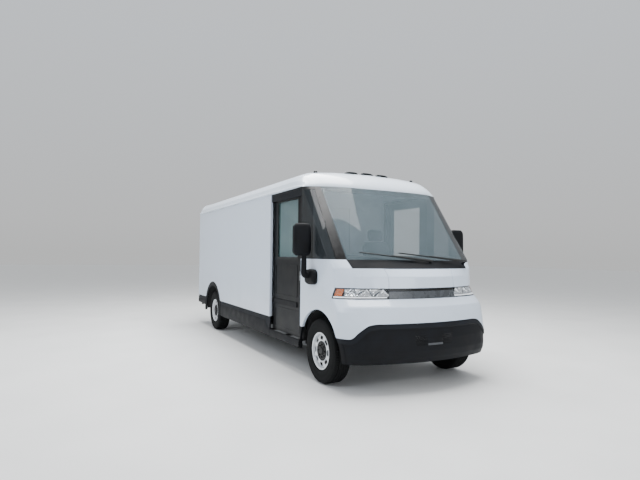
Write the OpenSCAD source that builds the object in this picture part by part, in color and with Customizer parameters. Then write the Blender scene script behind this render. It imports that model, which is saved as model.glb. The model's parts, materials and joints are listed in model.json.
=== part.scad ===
// Walk-through electric mail delivery truck, built from separate panels, glass, frame, doors and running gear.
// +X points forward, +Y to the vehicle's left and +Z up. The origin is on the ground under the middle of the truck.

/* [Overall] */
// Distance between the axles
wheelbase = 4660; // [4400:10:5600]
// Front axle to the foremost point of the bumper
front_overhang = 880; // [840:10:960]
// Rear axle to the back of the rear step
rear_overhang = 1240; // [1100:10:1500]
// Width over the cargo sides
body_w = 2160; // [2100:10:2560]
// Height of the roof's crown above the ground
roof_h = 2690; // [2600:10:3100]

/* [Wheels] */
// Radius of the tyres
tyre_r = 385; // [330:1:400]
// Width of the tyres
tyre_w = 235; // [205:5:255]
// Radius of the rim's flange
rim_r = 222; // [190:1:235]
// From the cargo side in to the tyre's outer face
wheel_inset = 38; // [20:1:70]
// Radius of the spindles that the hubs turn on
spindle_r = 30; // [25:1:34]
// Radius of the front wheel arches
front_arch_r = 499; // [480:1:520]
// Radius of the rear wheel arches' outer edge
rear_arch_r = 585; // [560:1:610]
// Width of the trim round a rear wheel arch
arch_trim_w = 80; // [60:1:90]

/* [Body] */
// Height of the cargo floor
floor_h = 640; // [620:5:690]
// Thickness of the floor
floor_t = 40; // [25:1:50]
// Height of the belt line under the side glass
belt_h = 1482; // [1460:1:1500]
// Height of the gutter along the roof
gutter_h = 2410; // [2380:5:2600]
// Lower edge of the cargo sides
panel_bottom = 665; // [650:5:700]
// Thickness of the outer cargo sides
side_t = 30; // [20:1:34]
// Thickness of the outer cab panels
skin_t = 6; // [4:0.5:8]
// Thickness of the roof
roof_t = 25; // [15:1:35]
// Seam between two neighbouring panels
seam = 0.6; // [0.4:0.1:0.9]
// Running clearance beside sliding and turning parts
clear = 0.3; // [0.2:0.05:0.5]

/* [Side doors] */
// Length of a side door opening
door_opening = 1050; // [950:10:1100]
// Thickness of a sliding side door
door_t = 40; // [30:1:46]
// Lower edge of a side door
door_bottom = 452; // [440:1:480]
// Length of the window in a side door
door_glass_w = 720; // [600:10:760]
// Lower edge of the window in a side door
door_glass_h = 1482; // [1450:1:1520]
// Thickness of the panes
glass_t = 6; // [4:0.5:8]

/* [Rear doors] */
// Width of the rear opening
rear_opening_w = 1580; // [1400:10:1640]
// Height of the rear opening above the floor
rear_opening_h = 1690; // [1500:10:1700]
// Thickness of a rear door leaf
leaf_t = 40; // [30:1:46]
// Radius of the rear door hinge pins
hinge_pin_r = 5; // [4:0.5:6]

/* [Cab] */
// Steering wheel's radius
steering_r = 200; // [180:1:220]
// Driver's distance from the centre line
driver_y = 450; // [420:1:480]
// Length of a wiper
wiper_len = 1000; // [850:10:1040]
// Height of the mirror heads
mirror_h = 390; // [300:10:430]

/* [Hidden] */
$fn = 64;

total_l = front_overhang + wheelbase + rear_overhang;
front_axle_x = total_l / 2 - front_overhang;
rear_axle_x = front_axle_x - wheelbase;
side_y = body_w / 2;
skin_y = side_y - 5;
wheel_y = side_y - wheel_inset - tyre_w / 2;
kingpin_y = wheel_y - 85;
rear_step_d = 60;
rear_x = rear_step_d - total_l / 2;
frame_d = 60;
// Stations across the body: inner skin, door track, floor edge and the beams behind the cab skin
lining_y = [side_y - 140, side_y - 128];
floor_y = lining_y[0] - 1;
beam_y = lining_y[0] - 10;
door_y = [side_y - 95, side_y - 95 + door_t];
door_front_x = front_axle_x - 470;
door_rear_x = door_front_x - door_opening;
cap_rear_x = front_axle_x - 900;
white = "#e6ebf0";
black = "#26292c";
steel = "#8d9296";
grey = "#5a5f63";
glass = "#5f6d73";

// ---- Cab skin: one curved surface that all front panels are cut from ----
// A place on it is [u, z]. u is 0 on the centre line, 1 where the corner starts,
// 2 where the corner ends and 3 at the door; negative u is the right-hand side.
strip_lo = 1040;
strip_hi = 1160;
hood_hi = belt_h - 100;
bumper_lo = 335;
shelf_h = 955;
bumper_top = 777;
cheek_h = 615;
seam_u = 0.61;
arch_x = 25;
fender_low = 622;
fender_front = 332;
quarter_top = gutter_h - 40;

// Centre line of the nose, as [height, distance ahead of the front axle]
nose = [
    [bumper_lo, front_overhang - 45], [400, front_overhang - 8], [470, front_overhang],
    [600, front_overhang - 12], [bumper_top, front_overhang - 52], [shelf_h, front_overhang - 100],
    [strip_lo, front_overhang - 190], [strip_hi, front_overhang - 190], [1290, front_overhang - 205],
    [hood_hi, front_overhang - 290], [belt_h, front_overhang - 435], [gutter_h, front_overhang - 1120]
];
function bow2(z) = lookup(z, [[strip_lo, 0.20], [strip_hi, 0.27], [1290, 0.27], [belt_h, 0.03]]);
function bow6(z) = lookup(z, [[1290, 0], [belt_h, 0.14]]);
function corner_y(z) = lookup(z, [[1290, 0.744], [belt_h, 0.8]]) * skin_y;
function corner_end_x(z) = lookup(z, [[900, 430], [strip_hi, 120], [belt_h, 250], [gutter_h, -460]]);
function skin_side(z) = skin_y - lookup(z, [[bumper_lo, 30], [fender_low, 0]]);
function drop(y, z) = bow2(z) * y * y / 1000 + bow6(z) * pow(y / 1000, 6) * 1000;
function drop_slope(y, z) = 2 * bow2(z) * y / 1000 + 6 * bow6(z) * pow(y / 1000, 5);
function mix(a, b, t) = a + (b - a) * t;
function plan_x(y, z) = lookup(z, nose) - drop(y, z);
// Corner of the plan at height z: start, control point and end of a quadratic curve
function corner(z) = let (
    y1 = corner_y(z), ys = skin_side(z), x1 = plan_x(y1, z)
) [[x1, y1], [x1 - drop_slope(y1, z) * (ys - y1), ys], [corner_end_x(z), ys]];
function bend(c, s) = (1 - s) * (1 - s) * c[0] + 2 * s * (1 - s) * c[1] + s * s * c[2];
function plan(u, z) = let (a = abs(u), c = corner(z), q =
    a <= 1 ? [plan_x(a * c[0].y, z), a * c[0].y] :
    a <= 2 ? bend(c, a - 1) : [mix(c[2].x, door_front_x - front_axle_x, a - 2), c[2].y])
    [front_axle_x + q.x, u < 0 ? -q.y : q.y];
// The same place moved in by d, square to the plan
function inset(u, z, d) = let (
    e = 0.01, m = max(-3 + e, min(u, 3 - e)), t = plan(m + e, z) - plan(m - e, z)
) concat(plan(u, z) + [-t.y, t.x] * d / norm(t), [z]);
// Value of u at a distance ahead of the front axle, by halving the range
function u_at(x, z, lo = 0, hi = 3, n = 22) = n == 0 ? (lo + hi) / 2 : let (m = (lo + hi) / 2)
    plan(m, z).x - front_axle_x > x ? u_at(x, z, m, hi, n - 1) : u_at(x, z, lo, m, n - 1);

// Closed sheet between two grids of places
module sheet(outer, inner, columns, rows) {
    n = len(outer);
    function id(i, j, k) = k * n + i * (rows + 1) + j;
    function pair(a, b, c, d) = [[a, b, c], [a, c, d]];
    faces = [
        for (i = [0 : columns - 1], j = [0 : rows - 1])
            each concat(pair(id(i, j, 0), id(i, j + 1, 0), id(i + 1, j + 1, 0), id(i + 1, j, 0)),
                pair(id(i, j, 1), id(i + 1, j, 1), id(i + 1, j + 1, 1), id(i, j + 1, 1))),
        for (i = [0 : columns - 1])
            each concat(pair(id(i, 0, 0), id(i + 1, 0, 0), id(i + 1, 0, 1), id(i, 0, 1)),
                pair(id(i, rows, 0), id(i, rows, 1), id(i + 1, rows, 1), id(i + 1, rows, 0))),
        for (j = [0 : rows - 1])
            each concat(pair(id(0, j, 0), id(0, j, 1), id(0, j + 1, 1), id(0, j + 1, 0)),
                pair(id(columns, j, 0), id(columns, j + 1, 0), id(columns, j + 1, 1), id(columns, j, 1)))
    ];
    polyhedron(concat(outer, inner), faces, convexity = 6);
}

// A panel of the cab skin. place(a, b) gives [u, z] for a and b from 0 to 1.
module skin_panel(place, columns, rows, thick, depth = 0) {
    function at(i, j, d) = let (p = place(i / columns, j / rows)) inset(p.x, p.y, d);
    sheet([for (i = [0 : columns], j = [0 : rows]) at(i, j, depth)],
        [for (i = [0 : columns], j = [0 : rows]) at(i, j, depth + thick)], columns, rows);
}

module both_sides() {
    children();
    mirror([0, 1, 0]) children();
}
module block(x, y, z) {
    translate([x[0], y[0], z[0]]) cube([x[1] - x[0], y[1] - y[0], z[1] - z[0]]);
}
module bar_y(x, y, z, r) {
    translate([x, y[0], z]) rotate([-90, 0, 0]) cylinder(r = r, h = y[1] - y[0]);
}
module side_plate(y, points) {
    translate([0, y[1], 0]) rotate([90, 0, 0]) linear_extrude(y[1] - y[0]) polygon(points);
}

// ---- Running gear ----
rail_y = [430, 510];
rail_z = [440, 560];
outrigger_z = [420, 446];
outrigger_x = concat([for (d = [-1000, -650, 700, 1300, 1900, 2500, 3080]) rear_axle_x + d],
    [front_axle_x - 1010, front_axle_x - 570]);
well_y = 574;
liner_r = front_arch_r + 1;
rear_liner_r = rear_arch_r - arch_trim_w + 1;
rear_well_y = wheel_y - tyre_w / 2 - 33;
step_y = side_y - 320;
pocket_y = [lining_y[1], side_y - side_t];

module chassis_frame() color(black) {
    both_sides() {
        block([rear_x + 0.5, front_axle_x + 680], rail_y, rail_z);
        for (x = outrigger_x) block([x, x + 50], [rail_y[1], side_y - 24.6], outrigger_z);
    }
    for (x = [rear_x + 20, rear_axle_x - 520, rear_axle_x + 620, rear_axle_x + 2150, front_axle_x - 1510, front_axle_x - 560])
        block([x, x + 60], [-rail_y[0], rail_y[0]], [rail_z[0] + 20, rail_z[1] - 20]);
    block([front_axle_x + 680, front_axle_x + 740], [-620, 620], rail_z);
}

module battery_pack() color(grey) {
    difference() {
        block([rear_axle_x + 800, front_axle_x - 860], [-step_y, step_y], [270, outrigger_z[0] - 0.6]);
        for (x = [rear_axle_x + 1050 : 550 : front_axle_x - 1110]) block([x, x + 60], [-step_y - 1, step_y + 1], [260, 282]);
    }
}

module floor_panel() color(grey) {
    z = [floor_h - floor_t, floor_h];
    well_x = [rear_axle_x - rear_liner_r - 8, rear_axle_x + rear_liner_r + 8];
    block([rear_x + frame_d + 0.6, well_x[0]], [-floor_y, floor_y], z);
    block(well_x, [-rear_well_y + 0.5, rear_well_y - 0.5], z);
    block([well_x[1], door_rear_x - 30], [-floor_y, floor_y], z);
    block([door_rear_x - 30, front_axle_x - liner_r - 8], [-step_y, step_y], z);
    block([front_axle_x - liner_r - 8, front_axle_x + 300], [-well_y + 0.5, well_y - 0.5], z);
    // Floor bearers down to the frame rails
    both_sides() {
        for (x = outrigger_x) block([x, x + 50], rail_y, [rail_z[1] + 0.5, z[0]]);
        // Step wells inside the two side doors
        block([door_rear_x - 30, front_axle_x - liner_r - 8], [step_y, step_y + 6], [outrigger_z[1] + 0.6, z[1]]);
        block([door_rear_x + 5, front_axle_x - liner_r - 8], [step_y + 6, door_y[0] - 7], [outrigger_z[1] + 0.6, door_bottom + 6]);
    }
}

module front_suspension() color(steel) {
    both_sides() {
        // Lower and upper arm, each with a pin for the knuckle
        linear_arm(arm_z[0] - 20, arm_z[0], [[rail_y[0], 150], [700, 110], [745, 58], [kingpin_y + 20, 24]]);
        linear_arm(arm_z[1], arm_z[1] + 18, [[rail_y[1] + 0.5, 75], [760, 36], [kingpin_y + 22, 24]]);
        translate([front_axle_x, kingpin_y, arm_z[0]]) cylinder(r = 12, h = 30);
        translate([front_axle_x, kingpin_y, arm_z[1] - 30]) cylinder(r = 12, h = 30);
        // Coil spring seat, damper and spring round it
        translate([front_axle_x - spring_back, 630, arm_z[0]]) cylinder(r = 22, h = 300);
        translate([front_axle_x - spring_back, 630, arm_z[0] + 25]) cylinder(r = 44, h = 270);
        translate([front_axle_x - spring_back, 630, arm_z[0] + 295]) cylinder(r = 48, h = 14);
        block(tower_x, [rail_y[1] + 0.5, 630], [arm_z[0] + 309, arm_z[0] + 314]);
        block(tower_x, [rail_y[1] + 0.5, rail_y[1] + 8], [rail_z[0], arm_z[0] + 314]);
    }
    block([front_axle_x - 150, front_axle_x - 60], [-rail_y[0], rail_y[0]], [arm_z[0] - 23, arm_z[0] + 15]);
    // Bearings of the steering rack
    both_sides() difference() {
        block([rack_x - 24, front_axle_x - 150], [300, 340], [rack_z - 24, rack_z + 24]);
        bar_y(rack_x, [290, 350], rack_z, 12 + clear);
    }
    both_sides() block([front_axle_x - 150, front_axle_x - 60], [rail_y[0], rail_y[1]], [arm_z[0] - 23, rail_z[0] - 0.5]);
    both_sides() block([front_axle_x - 40, front_axle_x + 40], [rail_y[1] + 0.5, rail_y[1] + 8], [rail_z[0], arm_z[1] + 18]);
}
spring_back = 102;
arm_z = [tyre_r - 100, tyre_r + 120];
tower_x = [front_axle_x - spring_back - 40, front_axle_x - spring_back + 40];
module linear_arm(z0, z1, stations) {
    translate([front_axle_x, 0, z0]) linear_extrude(z1 - z0) polygon(concat(
        [for (p = stations) [p.y, p.x]],
        [for (i = [len(stations) - 1 : -1 : 0]) [-stations[i].y, stations[i].x]]));
}

module hub_spindle(side) {
    bar_y(0, side > 0 ? [-20, 149] : [-149, 20], 0, spindle_r);
}
module knuckle(side) {
    difference() {
        block([-28, 28], [-26, 26], [-93, 83]);
        translate([0, 0, -94]) cylinder(r = 12 + clear, h = 26);
        translate([0, 0, 84 - 26]) cylinder(r = 12 + clear, h = 27);
    }
    hub_spindle(side);
    // Steering arm to the rear
    translate([0, side * -26, 0]) block([-165, -20], [-15, 15], [-70, -48]);
    // Brake caliper straddling the disc
    mirror([0, side > 0 ? 0 : 1, 0]) {
        block([-186, -110], [22, 33], [-40, 45]);
        block([-186, -110], [59, 68], [-40, 45]);
        block([-186, -171], [33, 59], [-40, 45]);
        block([-112, -27], [10, 26], [-20, 40]);
    }
}
module knuckle_left() color(steel) translate([front_axle_x, kingpin_y, tyre_r]) knuckle(1);
module knuckle_right() color(steel) translate([front_axle_x, -kingpin_y, tyre_r]) knuckle(-1);

rack_x = front_axle_x - 165;
rack_z = tyre_r - 88;
module steering_rack() color(steel) {
    z = rack_z;
    bar_y(rack_x, [-kingpin_y + 80, kingpin_y - 80], z, 12);
    both_sides() {
        block([front_axle_x - 170, front_axle_x - 140], [kingpin_y - 96, kingpin_y - 74], [z - 7, z + 7]);
        translate([front_axle_x - 150, kingpin_y - 70, z - 9]) cylinder(r = 18, h = 22);
    }
}

module rear_axle() color(steel) translate([rear_axle_x, 0, tyre_r]) {
    bar_y(0, [-740, 740], 0, 52);
    both_sides() {
        bar_y(0, [740, wheel_y + 60], 0, spindle_r);
        // Leaf spring with hangers, and the brake caliper
        for (k = [0 : 2]) block([-620 + 150 * k, 620 - 150 * k], [rail_y[0] + 5, rail_y[1] - 5],
            [-52 - 9 * k - 9, -52 - 9 * k]);
        block([-60, 60], [rail_y[0], rail_y[1]], [-90, -79]);
        for (x = [-620, 590]) block([x, x + 30], [rail_y[0] + 10, rail_y[1] - 10], [-52, rail_z[0] - tyre_r - 0.6]);
        block([-150, -40], [wheel_y - 90, wheel_y - 56], [20, 60]);
        block([-40, 40], [730, wheel_y - 56], [20, 60]);
    }
}

module drive_unit() color(grey) {
    z = tyre_r + 20;
    difference() {
        bar_y(rear_axle_x + 190, [-260, 260], z, 120);
        translate([rear_axle_x, 0, tyre_r]) rotate([90, 0, 0]) cylinder(r = 52.6, h = 900, center = true);
    }
    difference() {
        block([rear_axle_x - 90, rear_axle_x + 200], [-120, 90], [tyre_r - 95, tyre_r + 100]);
        translate([rear_axle_x, 0, tyre_r]) rotate([90, 0, 0]) cylinder(r = 52.6, h = 900, center = true);
    }
    both_sides() block([rear_axle_x + 150, rear_axle_x + 230], [200, rail_y[0] - 0.5], [z + 40, z + 80]);
}

// ---- Wheels: the axis is along y and the outer face points along +y ----
module tyre() color("#1b1c1d") rotate([-90, 0, 0]) rotate_extrude($fn = 96) {
    h = tyre_w / 2;
    b = rim_r - 17;
    difference() {
        polygon([
            [b + 0.2, -84], [rim_r + 2, -93], [rim_r + 14, -h + 8], [rim_r + 60, -h], [tyre_r - 45, -h + 1],
            [tyre_r - 12, -h + 14], [tyre_r - 1, -h + 38], [tyre_r, 0], [tyre_r - 1, h - 38],
            [tyre_r - 12, h - 14], [tyre_r - 45, h - 1], [rim_r + 60, h], [rim_r + 14, h - 8],
            [rim_r + 2, 93], [b + 0.2, 84], [b + 0.2, 66], [b + 25, 66],
            [b + 60, h - 13], [tyre_r - 50, h - 14], [tyre_r - 20, h - 30], [tyre_r - 20, 30 - h],
            [tyre_r - 50, 14 - h], [b + 60, 13 - h], [b + 25, -66], [b + 0.2, -66]
        ]);
        // Grooves round the tread
        for (w = [-54, -18, 18, 54]) translate([tyre_r - 9, w - 4]) square([12, 8]);
    }
}

module wheel() {
    b = rim_r - 17;
    color("#d8dadb") rotate([-90, 0, 0]) rotate_extrude($fn = 96) polygon([
        [b - 5, -92], [b, -92], [rim_r, -96], [rim_r, -101], [b - 4, -98], [b - 5, -40], [b - 16, 10], [b - 5, 30],
        [b - 5, 92], [b - 4, 98], [rim_r, 101], [rim_r, 96], [b, 92], [b, 34], [b - 12, 10], [b, -36], [b, -90]
    ]);
    // Dished disc with eight windows and a raised ring for the nuts
    color("#d8dadb") difference() {
        rotate([-90, 0, 0]) rotate_extrude($fn = 96) polygon([
            [spindle_r + clear, 36], [95, 36], [118, 58], [150, 60], [b - 5, 24], [b - 5, 36], [152, 69],
            [114, 68], [90, 46], [spindle_r + clear, 46]
        ]);
        for (k = [0 : 7]) rotate([0, 45 * k + 22.5, 0]) translate([172, 0, 0]) rotate([-90, 0, 0])
            cylinder(r = 19, h = 90, $fn = 32);
    }
    // Hub, brake disc and the black centre cover
    color(steel) difference() {
        union() {
            bar_y(0, [-56, 36], 0, 62);
            bar_y(0, [-50, -28], 0, 168);
        }
        bar_y(0, [-60, 40], 0, spindle_r + clear);
    }
    color(black) bar_y(0, [66, 82], 0, 46);
    color(black) difference() {
        bar_y(0, [46, 66], 0, 88);
        bar_y(0, [45, 64.5], 0, spindle_r + 4);
    }
    color(steel) for (k = [0 : 7]) rotate([0, 45 * k, 0]) translate([70, 0, 0]) bar_y(0, [66, 80], 0, 11, $fn = 6);
}
module at_wheel(x, side) translate([x, side * wheel_y, tyre_r]) mirror([0, side > 0 ? 0 : 1, 0]) children();
module tyre_front_left() at_wheel(front_axle_x, 1) tyre();
module tyre_front_right() at_wheel(front_axle_x, -1) tyre();
module tyre_rear_left() at_wheel(rear_axle_x, 1) tyre();
module tyre_rear_right() at_wheel(rear_axle_x, -1) tyre();
module wheel_front_left() at_wheel(front_axle_x, 1) wheel();
module wheel_front_right() at_wheel(front_axle_x, -1) wheel();
module wheel_rear_left() at_wheel(rear_axle_x, 1) wheel();
module wheel_rear_right() at_wheel(rear_axle_x, -1) wheel();

module wheel_liners() color("#1f2123") both_sides() {
    well(front_axle_x, liner_r, [well_y, door_y[0] - 5]);
    well(rear_axle_x, rear_liner_r, [rear_well_y, pocket_y[1] - 1]);
}
module well(x, r, y) translate([x, 0, tyre_r]) difference() {
    bar_y(0, y, 0, r + 6, $fn = 96);
    bar_y(0, [y[0] + 6, y[1] + 1], 0, r, $fn = 96);
    block([-r - 9, r + 9], [0, y[1] + 5], [-r - 9, 0]);
    // Way in for the axle or the suspension arms
    block([-190, 95], [0, y[0] + 7], [-1, 220]);
}

module arch_trims() color(black) both_sides() difference() {
    bar_y(rear_axle_x, [pocket_y[1] - 0.4, side_y + 4], tyre_r, rear_arch_r - 0.6, $fn = 96);
    bar_y(rear_axle_x, [pocket_y[1] - 2, side_y + 6], tyre_r, rear_arch_r - arch_trim_w, $fn = 96);
    block([rear_axle_x - 700, rear_axle_x + 700], [0, 1200], [-300, 345]);
}

// ---- Cargo body ----
module cargo_side() {
    x = [rear_x + frame_d + 0.6, door_rear_x];
    top = gutter_h - 0.6;
    color(white) difference() {
        block(x, [side_y - side_t, side_y], [panel_bottom, top]);
        bar_y(rear_axle_x, [900, 1200], tyre_r, rear_arch_r, $fn = 96);
    }
    difference() {
        block([x[0], x[1] - 30], lining_y, [floor_h - floor_t, top]);
        bar_y(rear_axle_x, [900, 1200], tyre_r, rear_liner_r + 7, $fn = 96);
    }
    // Top rail joins the two skins; a post closes the pocket ahead of the rear doors
    block(x, [lining_y[0], side_y - side_t], [gutter_h - 22, top]);
    difference() {
        block([x[0], x[0] + 30], [pocket_y[0], side_y - side_t], [panel_bottom, gutter_h - 22]);
        bar_y(rear_axle_x, [900, 1200], tyre_r, rear_arch_r, $fn = 96);
    }
}
module cargo_side_left() cargo_side();
module cargo_side_right() mirror([0, 1, 0]) cargo_side();

roof_rise = roof_h - gutter_h;
function roof_half(d) = [
    [side_y - d, 0], [side_y - d, 30], [side_y - 20 - d, 40], [side_y - 40 - d, 0.39 * roof_rise],
    [side_y - 100 - 0.8 * d, 0.68 * roof_rise - 0.6 * d], [side_y - 230 - 0.4 * d, 0.857 * roof_rise - d],
    [side_y / 2, 0.957 * roof_rise - d], [0, roof_rise - d]
];
roof_s = [0, 0.06, 0.1, 0.22, 0.36, 0.5, 0.76, 1];
function roof_at(s, d) = let (h = roof_half(d), t = 1 - abs(s)) [
    sign(s) * lookup(t, [for (i = [0 : 7]) [roof_s[i], h[i].x]]), lookup(t, [for (i = [0 : 7]) [roof_s[i], h[i].y]])
];
function mirrored(list) = [for (i = [len(list) - 1 : -1 : 0]) [-list[i].x, list[i].y]];
module roof_section(d) translate([0, gutter_h])
    polygon(concat(roof_half(d), mirrored([for (i = [0 : 6]) roof_half(d)[i]])));
module along_x(x) translate([x[0], 0, 0]) rotate([90, 0, 90]) linear_extrude(x[1] - x[0]) children();

module roof_panel() color(white) along_x([rear_x, cap_rear_x - 0.6]) difference() {
    roof_section(0);
    translate([0, -0.01]) roof_section(roof_t);
}

// Front end of the roof, drawn down to the top of the windshield
function cap_place(s, v, d) = let (
    r = roof_at(s, d),
    u = 2 * s,
    f = inset(u, gutter_h, d),
    lift = sqrt(max(0, 1 - pow(v, 5)))
) [mix(cap_rear_x, f.x, v), mix(r.x, f.y, pow(v, 1.6)), gutter_h + r.y * lift];
module cap_sheet(s, v, d0, d1, columns, rows) {
    sheet([for (i = [0 : columns], j = [0 : rows])
            cap_place(mix(s[0], s[1], i / columns), 1 - pow(1 - mix(v[0], v[1], j / rows), 1.5), d0)],
        [for (i = [0 : columns], j = [0 : rows])
            cap_place(mix(s[0], s[1], i / columns), 1 - pow(1 - mix(v[0], v[1], j / rows), 1.5), d1)],
        columns, rows);
}
module roof_cap() color(white) cap_sheet([0.999, -0.999], [0, 1], 0, 24, 40, 12);

module marker_lamps() color(black) {
    for (s = [-0.46, -0.12, 0, 0.12, 0.46]) cap_sheet([s + 0.022, s - 0.022], [0.4, 0.46], -24, -0.4, 4, 4);
}

module rear_frame() {
    x = [rear_x, rear_x + frame_d];
    half = rear_opening_w / 2;
    top = floor_h + rear_opening_h;
    color(white) both_sides() {
        block(x, [half, side_y], [panel_bottom, gutter_h - 0.6]);
        block(x, [half, side_y - 24.6], [floor_h - floor_t, panel_bottom]);
        // Fixed knuckles of the rear door hinges
        for (z = [floor_h + 180, floor_h + 800, floor_h + 1420]) {
            bar_z(rear_x - 12, half + 15, [z, z + 40], hinge_pin_r + 6);
            bar_z(rear_x - 12, half + 15, [z + 40, z + 110], hinge_pin_r);
            bar_z(rear_x - 12, half + 15, [z + 110, z + 150], hinge_pin_r + 6);
            for (k = [0, 110]) block([rear_x - 14, rear_x + 2], [half + 15, half + 60], [z + k, z + k + 40]);
        }
    }
    color(white) block(x, [-half, half], [top, gutter_h - 0.6]);
    color(white) along_x(x) roof_section(roof_t + 0.6);
    block(x, [-half, half], [floor_h - floor_t, floor_h - 0.6]);
    both_sides() block(x, [rail_y[0], rail_y[1]], [rail_z[1] + 0.5, floor_h - floor_t]);
}
module bar_z(x, y, z, r) translate([x, y, z[0]]) cylinder(r = r, h = z[1] - z[0]);

module rear_bumper() color(black) {
    block([rear_x - rear_step_d, rear_x], [-1000, 1000], [430, 560]);
    block([rear_x - rear_step_d + 6, rear_x], [-820, 820], [560, 566]);
}

module sills() color(black) both_sides() {
    difference() {
        side_plate([side_y - 24, side_y - 4], [
            [rear_x, 460], [rear_axle_x - 300, 460], [rear_axle_x, 340], [front_axle_x - liner_r + 2, 340],
            [front_axle_x - liner_r + 2, 440], [door_rear_x, 440], [door_rear_x, panel_bottom - 0.6],
            [rear_x, panel_bottom - 0.6]
        ]);
        bar_y(rear_axle_x, [900, 1200], tyre_r, rear_arch_r, $fn = 96);
    }
    difference() {
        side_plate([side_y - 6, side_y + 3], [
            [rear_axle_x + 300, 340], [front_axle_x - liner_r + 2, 340], [front_axle_x - liner_r + 2, 430],
            [rear_axle_x + 300, 430]
        ]);
        bar_y(rear_axle_x, [900, 1200], tyre_r, rear_arch_r, $fn = 96);
    }
    // Black piece between the door and the front wheel arch
    difference() {
        side_plate([side_y - 40, side_y - 8], [
            [front_axle_x - liner_r + 2, 440], [front_axle_x - liner_r + 2, 340], [door_front_x + 60, 340],
            [door_front_x + 60, fender_low - 0.6], [door_front_x, fender_low - 0.6], [door_front_x, 440]
        ]);
        bar_y(front_axle_x + arch_x, [900, 1200], tyre_r, front_arch_r, $fn = 96);
    }
}

// ---- Cab ----
function arch_z(x) = abs(x - arch_x) < front_arch_r ? tyre_r + sqrt(pow(front_arch_r, 2) - pow(x - arch_x, 2)) : 0;
function fender_bottom(x) = max(fender_low, arch_z(x));
function nose_end_x(z) = z > arch_z(fender_front) ? fender_front :
    arch_x + sqrt(max(0, pow(front_arch_r, 2) - pow(z - tyre_r, 2)));
function nose_end_u(z) = u_at(nose_end_x(z), z);
function fascia_low(a) = lookup(abs(a), [[0.455, bumper_top], [0.73, cheek_h]]);
function glass_end(z) = 1.05;
function pillar_end(z) = lookup(z, [[belt_h, 1.38], [gutter_h, 1.26]]);
function cowl_end(z) = 1.065;
function hood_end(z) = lookup(z, [[strip_hi, 0.61], [hood_hi, 0.59]]);

module front_fenders() color(white) both_sides() {
    // Round the corner beside the hood, up to the cowl and the belt line
    skin_panel(function (a, b) let (z = b < 0.6 ? mix(strip_hi, 1290, b / 0.6) : mix(1290, hood_hi, (b - 0.6) / 0.4))
        [mix(hood_end(z) + 0.001, cowl_end(z), a), z], 10, 5, skin_t);
    skin_panel(function (a, b) let (z = b < 0.6 ? mix(strip_hi, 1290, b / 0.6) : mix(1290, hood_hi, (b - 0.6) / 0.4))
        [mix(cowl_end(z) - 0.001, 3, a), z], 24, 5, skin_t);
    skin_panel(function (a, b) let (z = mix(hood_hi - 0.2, belt_h, b))
        [mix(cowl_end(z), 3, a), z], 24, 2, skin_t);
    // Side, down to the wheel arch
    skin_panel(function (a, b) let (
        x = mix(fender_front, door_front_x - front_axle_x, a),
        z = mix(fender_bottom(x), strip_hi + 0.4, b)
    ) [u_at(x, z), z], 32, 4, skin_t);
}

module front_fascia() color(white)
    skin_panel(function (a, b) let (
        t = 2 * a - 1,
        z = b < 0.6 ? mix(fascia_low(t) + seam / 2, shelf_h, b / 0.6) : mix(shelf_h, strip_lo, (b - 0.6) / 0.4)
    ) [t * (nose_end_u(z) - 0.0026), z], 60, 5, skin_t);

module front_bumper() color(black) {
    skin_panel(function (a, b) let (
        t = 2 * a - 1,
        z = b < 0.5 ? mix(bumper_lo, 470, b / 0.5) : mix(470, fascia_low(t) - seam / 2, (b - 0.5) / 0.5)
    ) [t * nose_end_u(z), z], 60, 6, skin_t + 2);
    both_sides() for (y = [120, 420]) block([front_axle_x + 740.5, front_axle_x + front_overhang - 12
        - drop(y + 20, 470)], [y, y + 16], [440, 540]);
    // Lower air dam
    block([front_axle_x + 700, front_axle_x + front_overhang - 190], [-560, 560], [bumper_lo - 1, bumper_lo + 5]);
}

module cowl_panel() color(black) {
    skin_panel(function (a, b) let (z = mix(hood_hi + 0.6, belt_h - 0.3, b))
        [(2 * a - 1) * (cowl_end(z) - 0.002), z], 36, 2, skin_t);
    // Wiper spindles
    for (y = wiper_y) on_glass(y) {
        translate([wiper_foot, 0, -wiper_sink(y)]) cylinder(r = 16, h = wiper_sink(y) + wiper_lift - 0.4);
        translate([wiper_foot, 0, 0]) cylinder(r = 7, h = wiper_lift + 15);
    }
}
wiper_y = [240, 800];
wiper_foot = 34;
wiper_lift = 24;
function wiper_sink(y) = 0.8 * drop(y, belt_h) + 16;
glass_rake = atan2(gutter_h - belt_h, 685);
// Frame on the glass: z square to it, x down the slope
module on_glass(y) translate([front_axle_x + front_overhang - 435, y, belt_h]) rotate([0, glass_rake, 0]) children();

module windshield() color(glass)
    skin_panel(function (a, b) let (z = mix(belt_h + 0.3, gutter_h - 0.6, b))
        [(2 * a - 1) * (glass_end(z) - 0.001), z], 36, 4, glass_t);

module quarter_glasses() color(glass) both_sides()
    skin_panel(function (a, b) let (z = mix(belt_h + 0.6, quarter_top - 0.3, b))
        [mix(pillar_end(z) + 0.008, 3, a), z], 10, 4, glass_t);

module light_bar() color(grey)
    skin_panel(function (a, b) [(2 * a - 1) * (seam_u - 0.002), mix(strip_lo + 0.6, strip_hi - 0.6, b)],
        24, 1, 30, skin_t);

module headlamps() color("#c9ccce") both_sides()
    skin_panel(function (a, b) let (z = mix(strip_lo + 0.6, strip_hi - 0.6, b))
        [mix(seam_u, u_at(fender_front + 8, z), a), z], 16, 1, 36, skin_t);

module hood() color(white)
    skin_panel(function (a, b) let (
        z = b < 0.6 ? mix(strip_hi, 1290, b / 0.6) : mix(1290, hood_hi, (b - 0.6) / 0.4)
    ) [(2 * a - 1) * (hood_end(z) - 0.001), z], 24, 5, skin_t);

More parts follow.
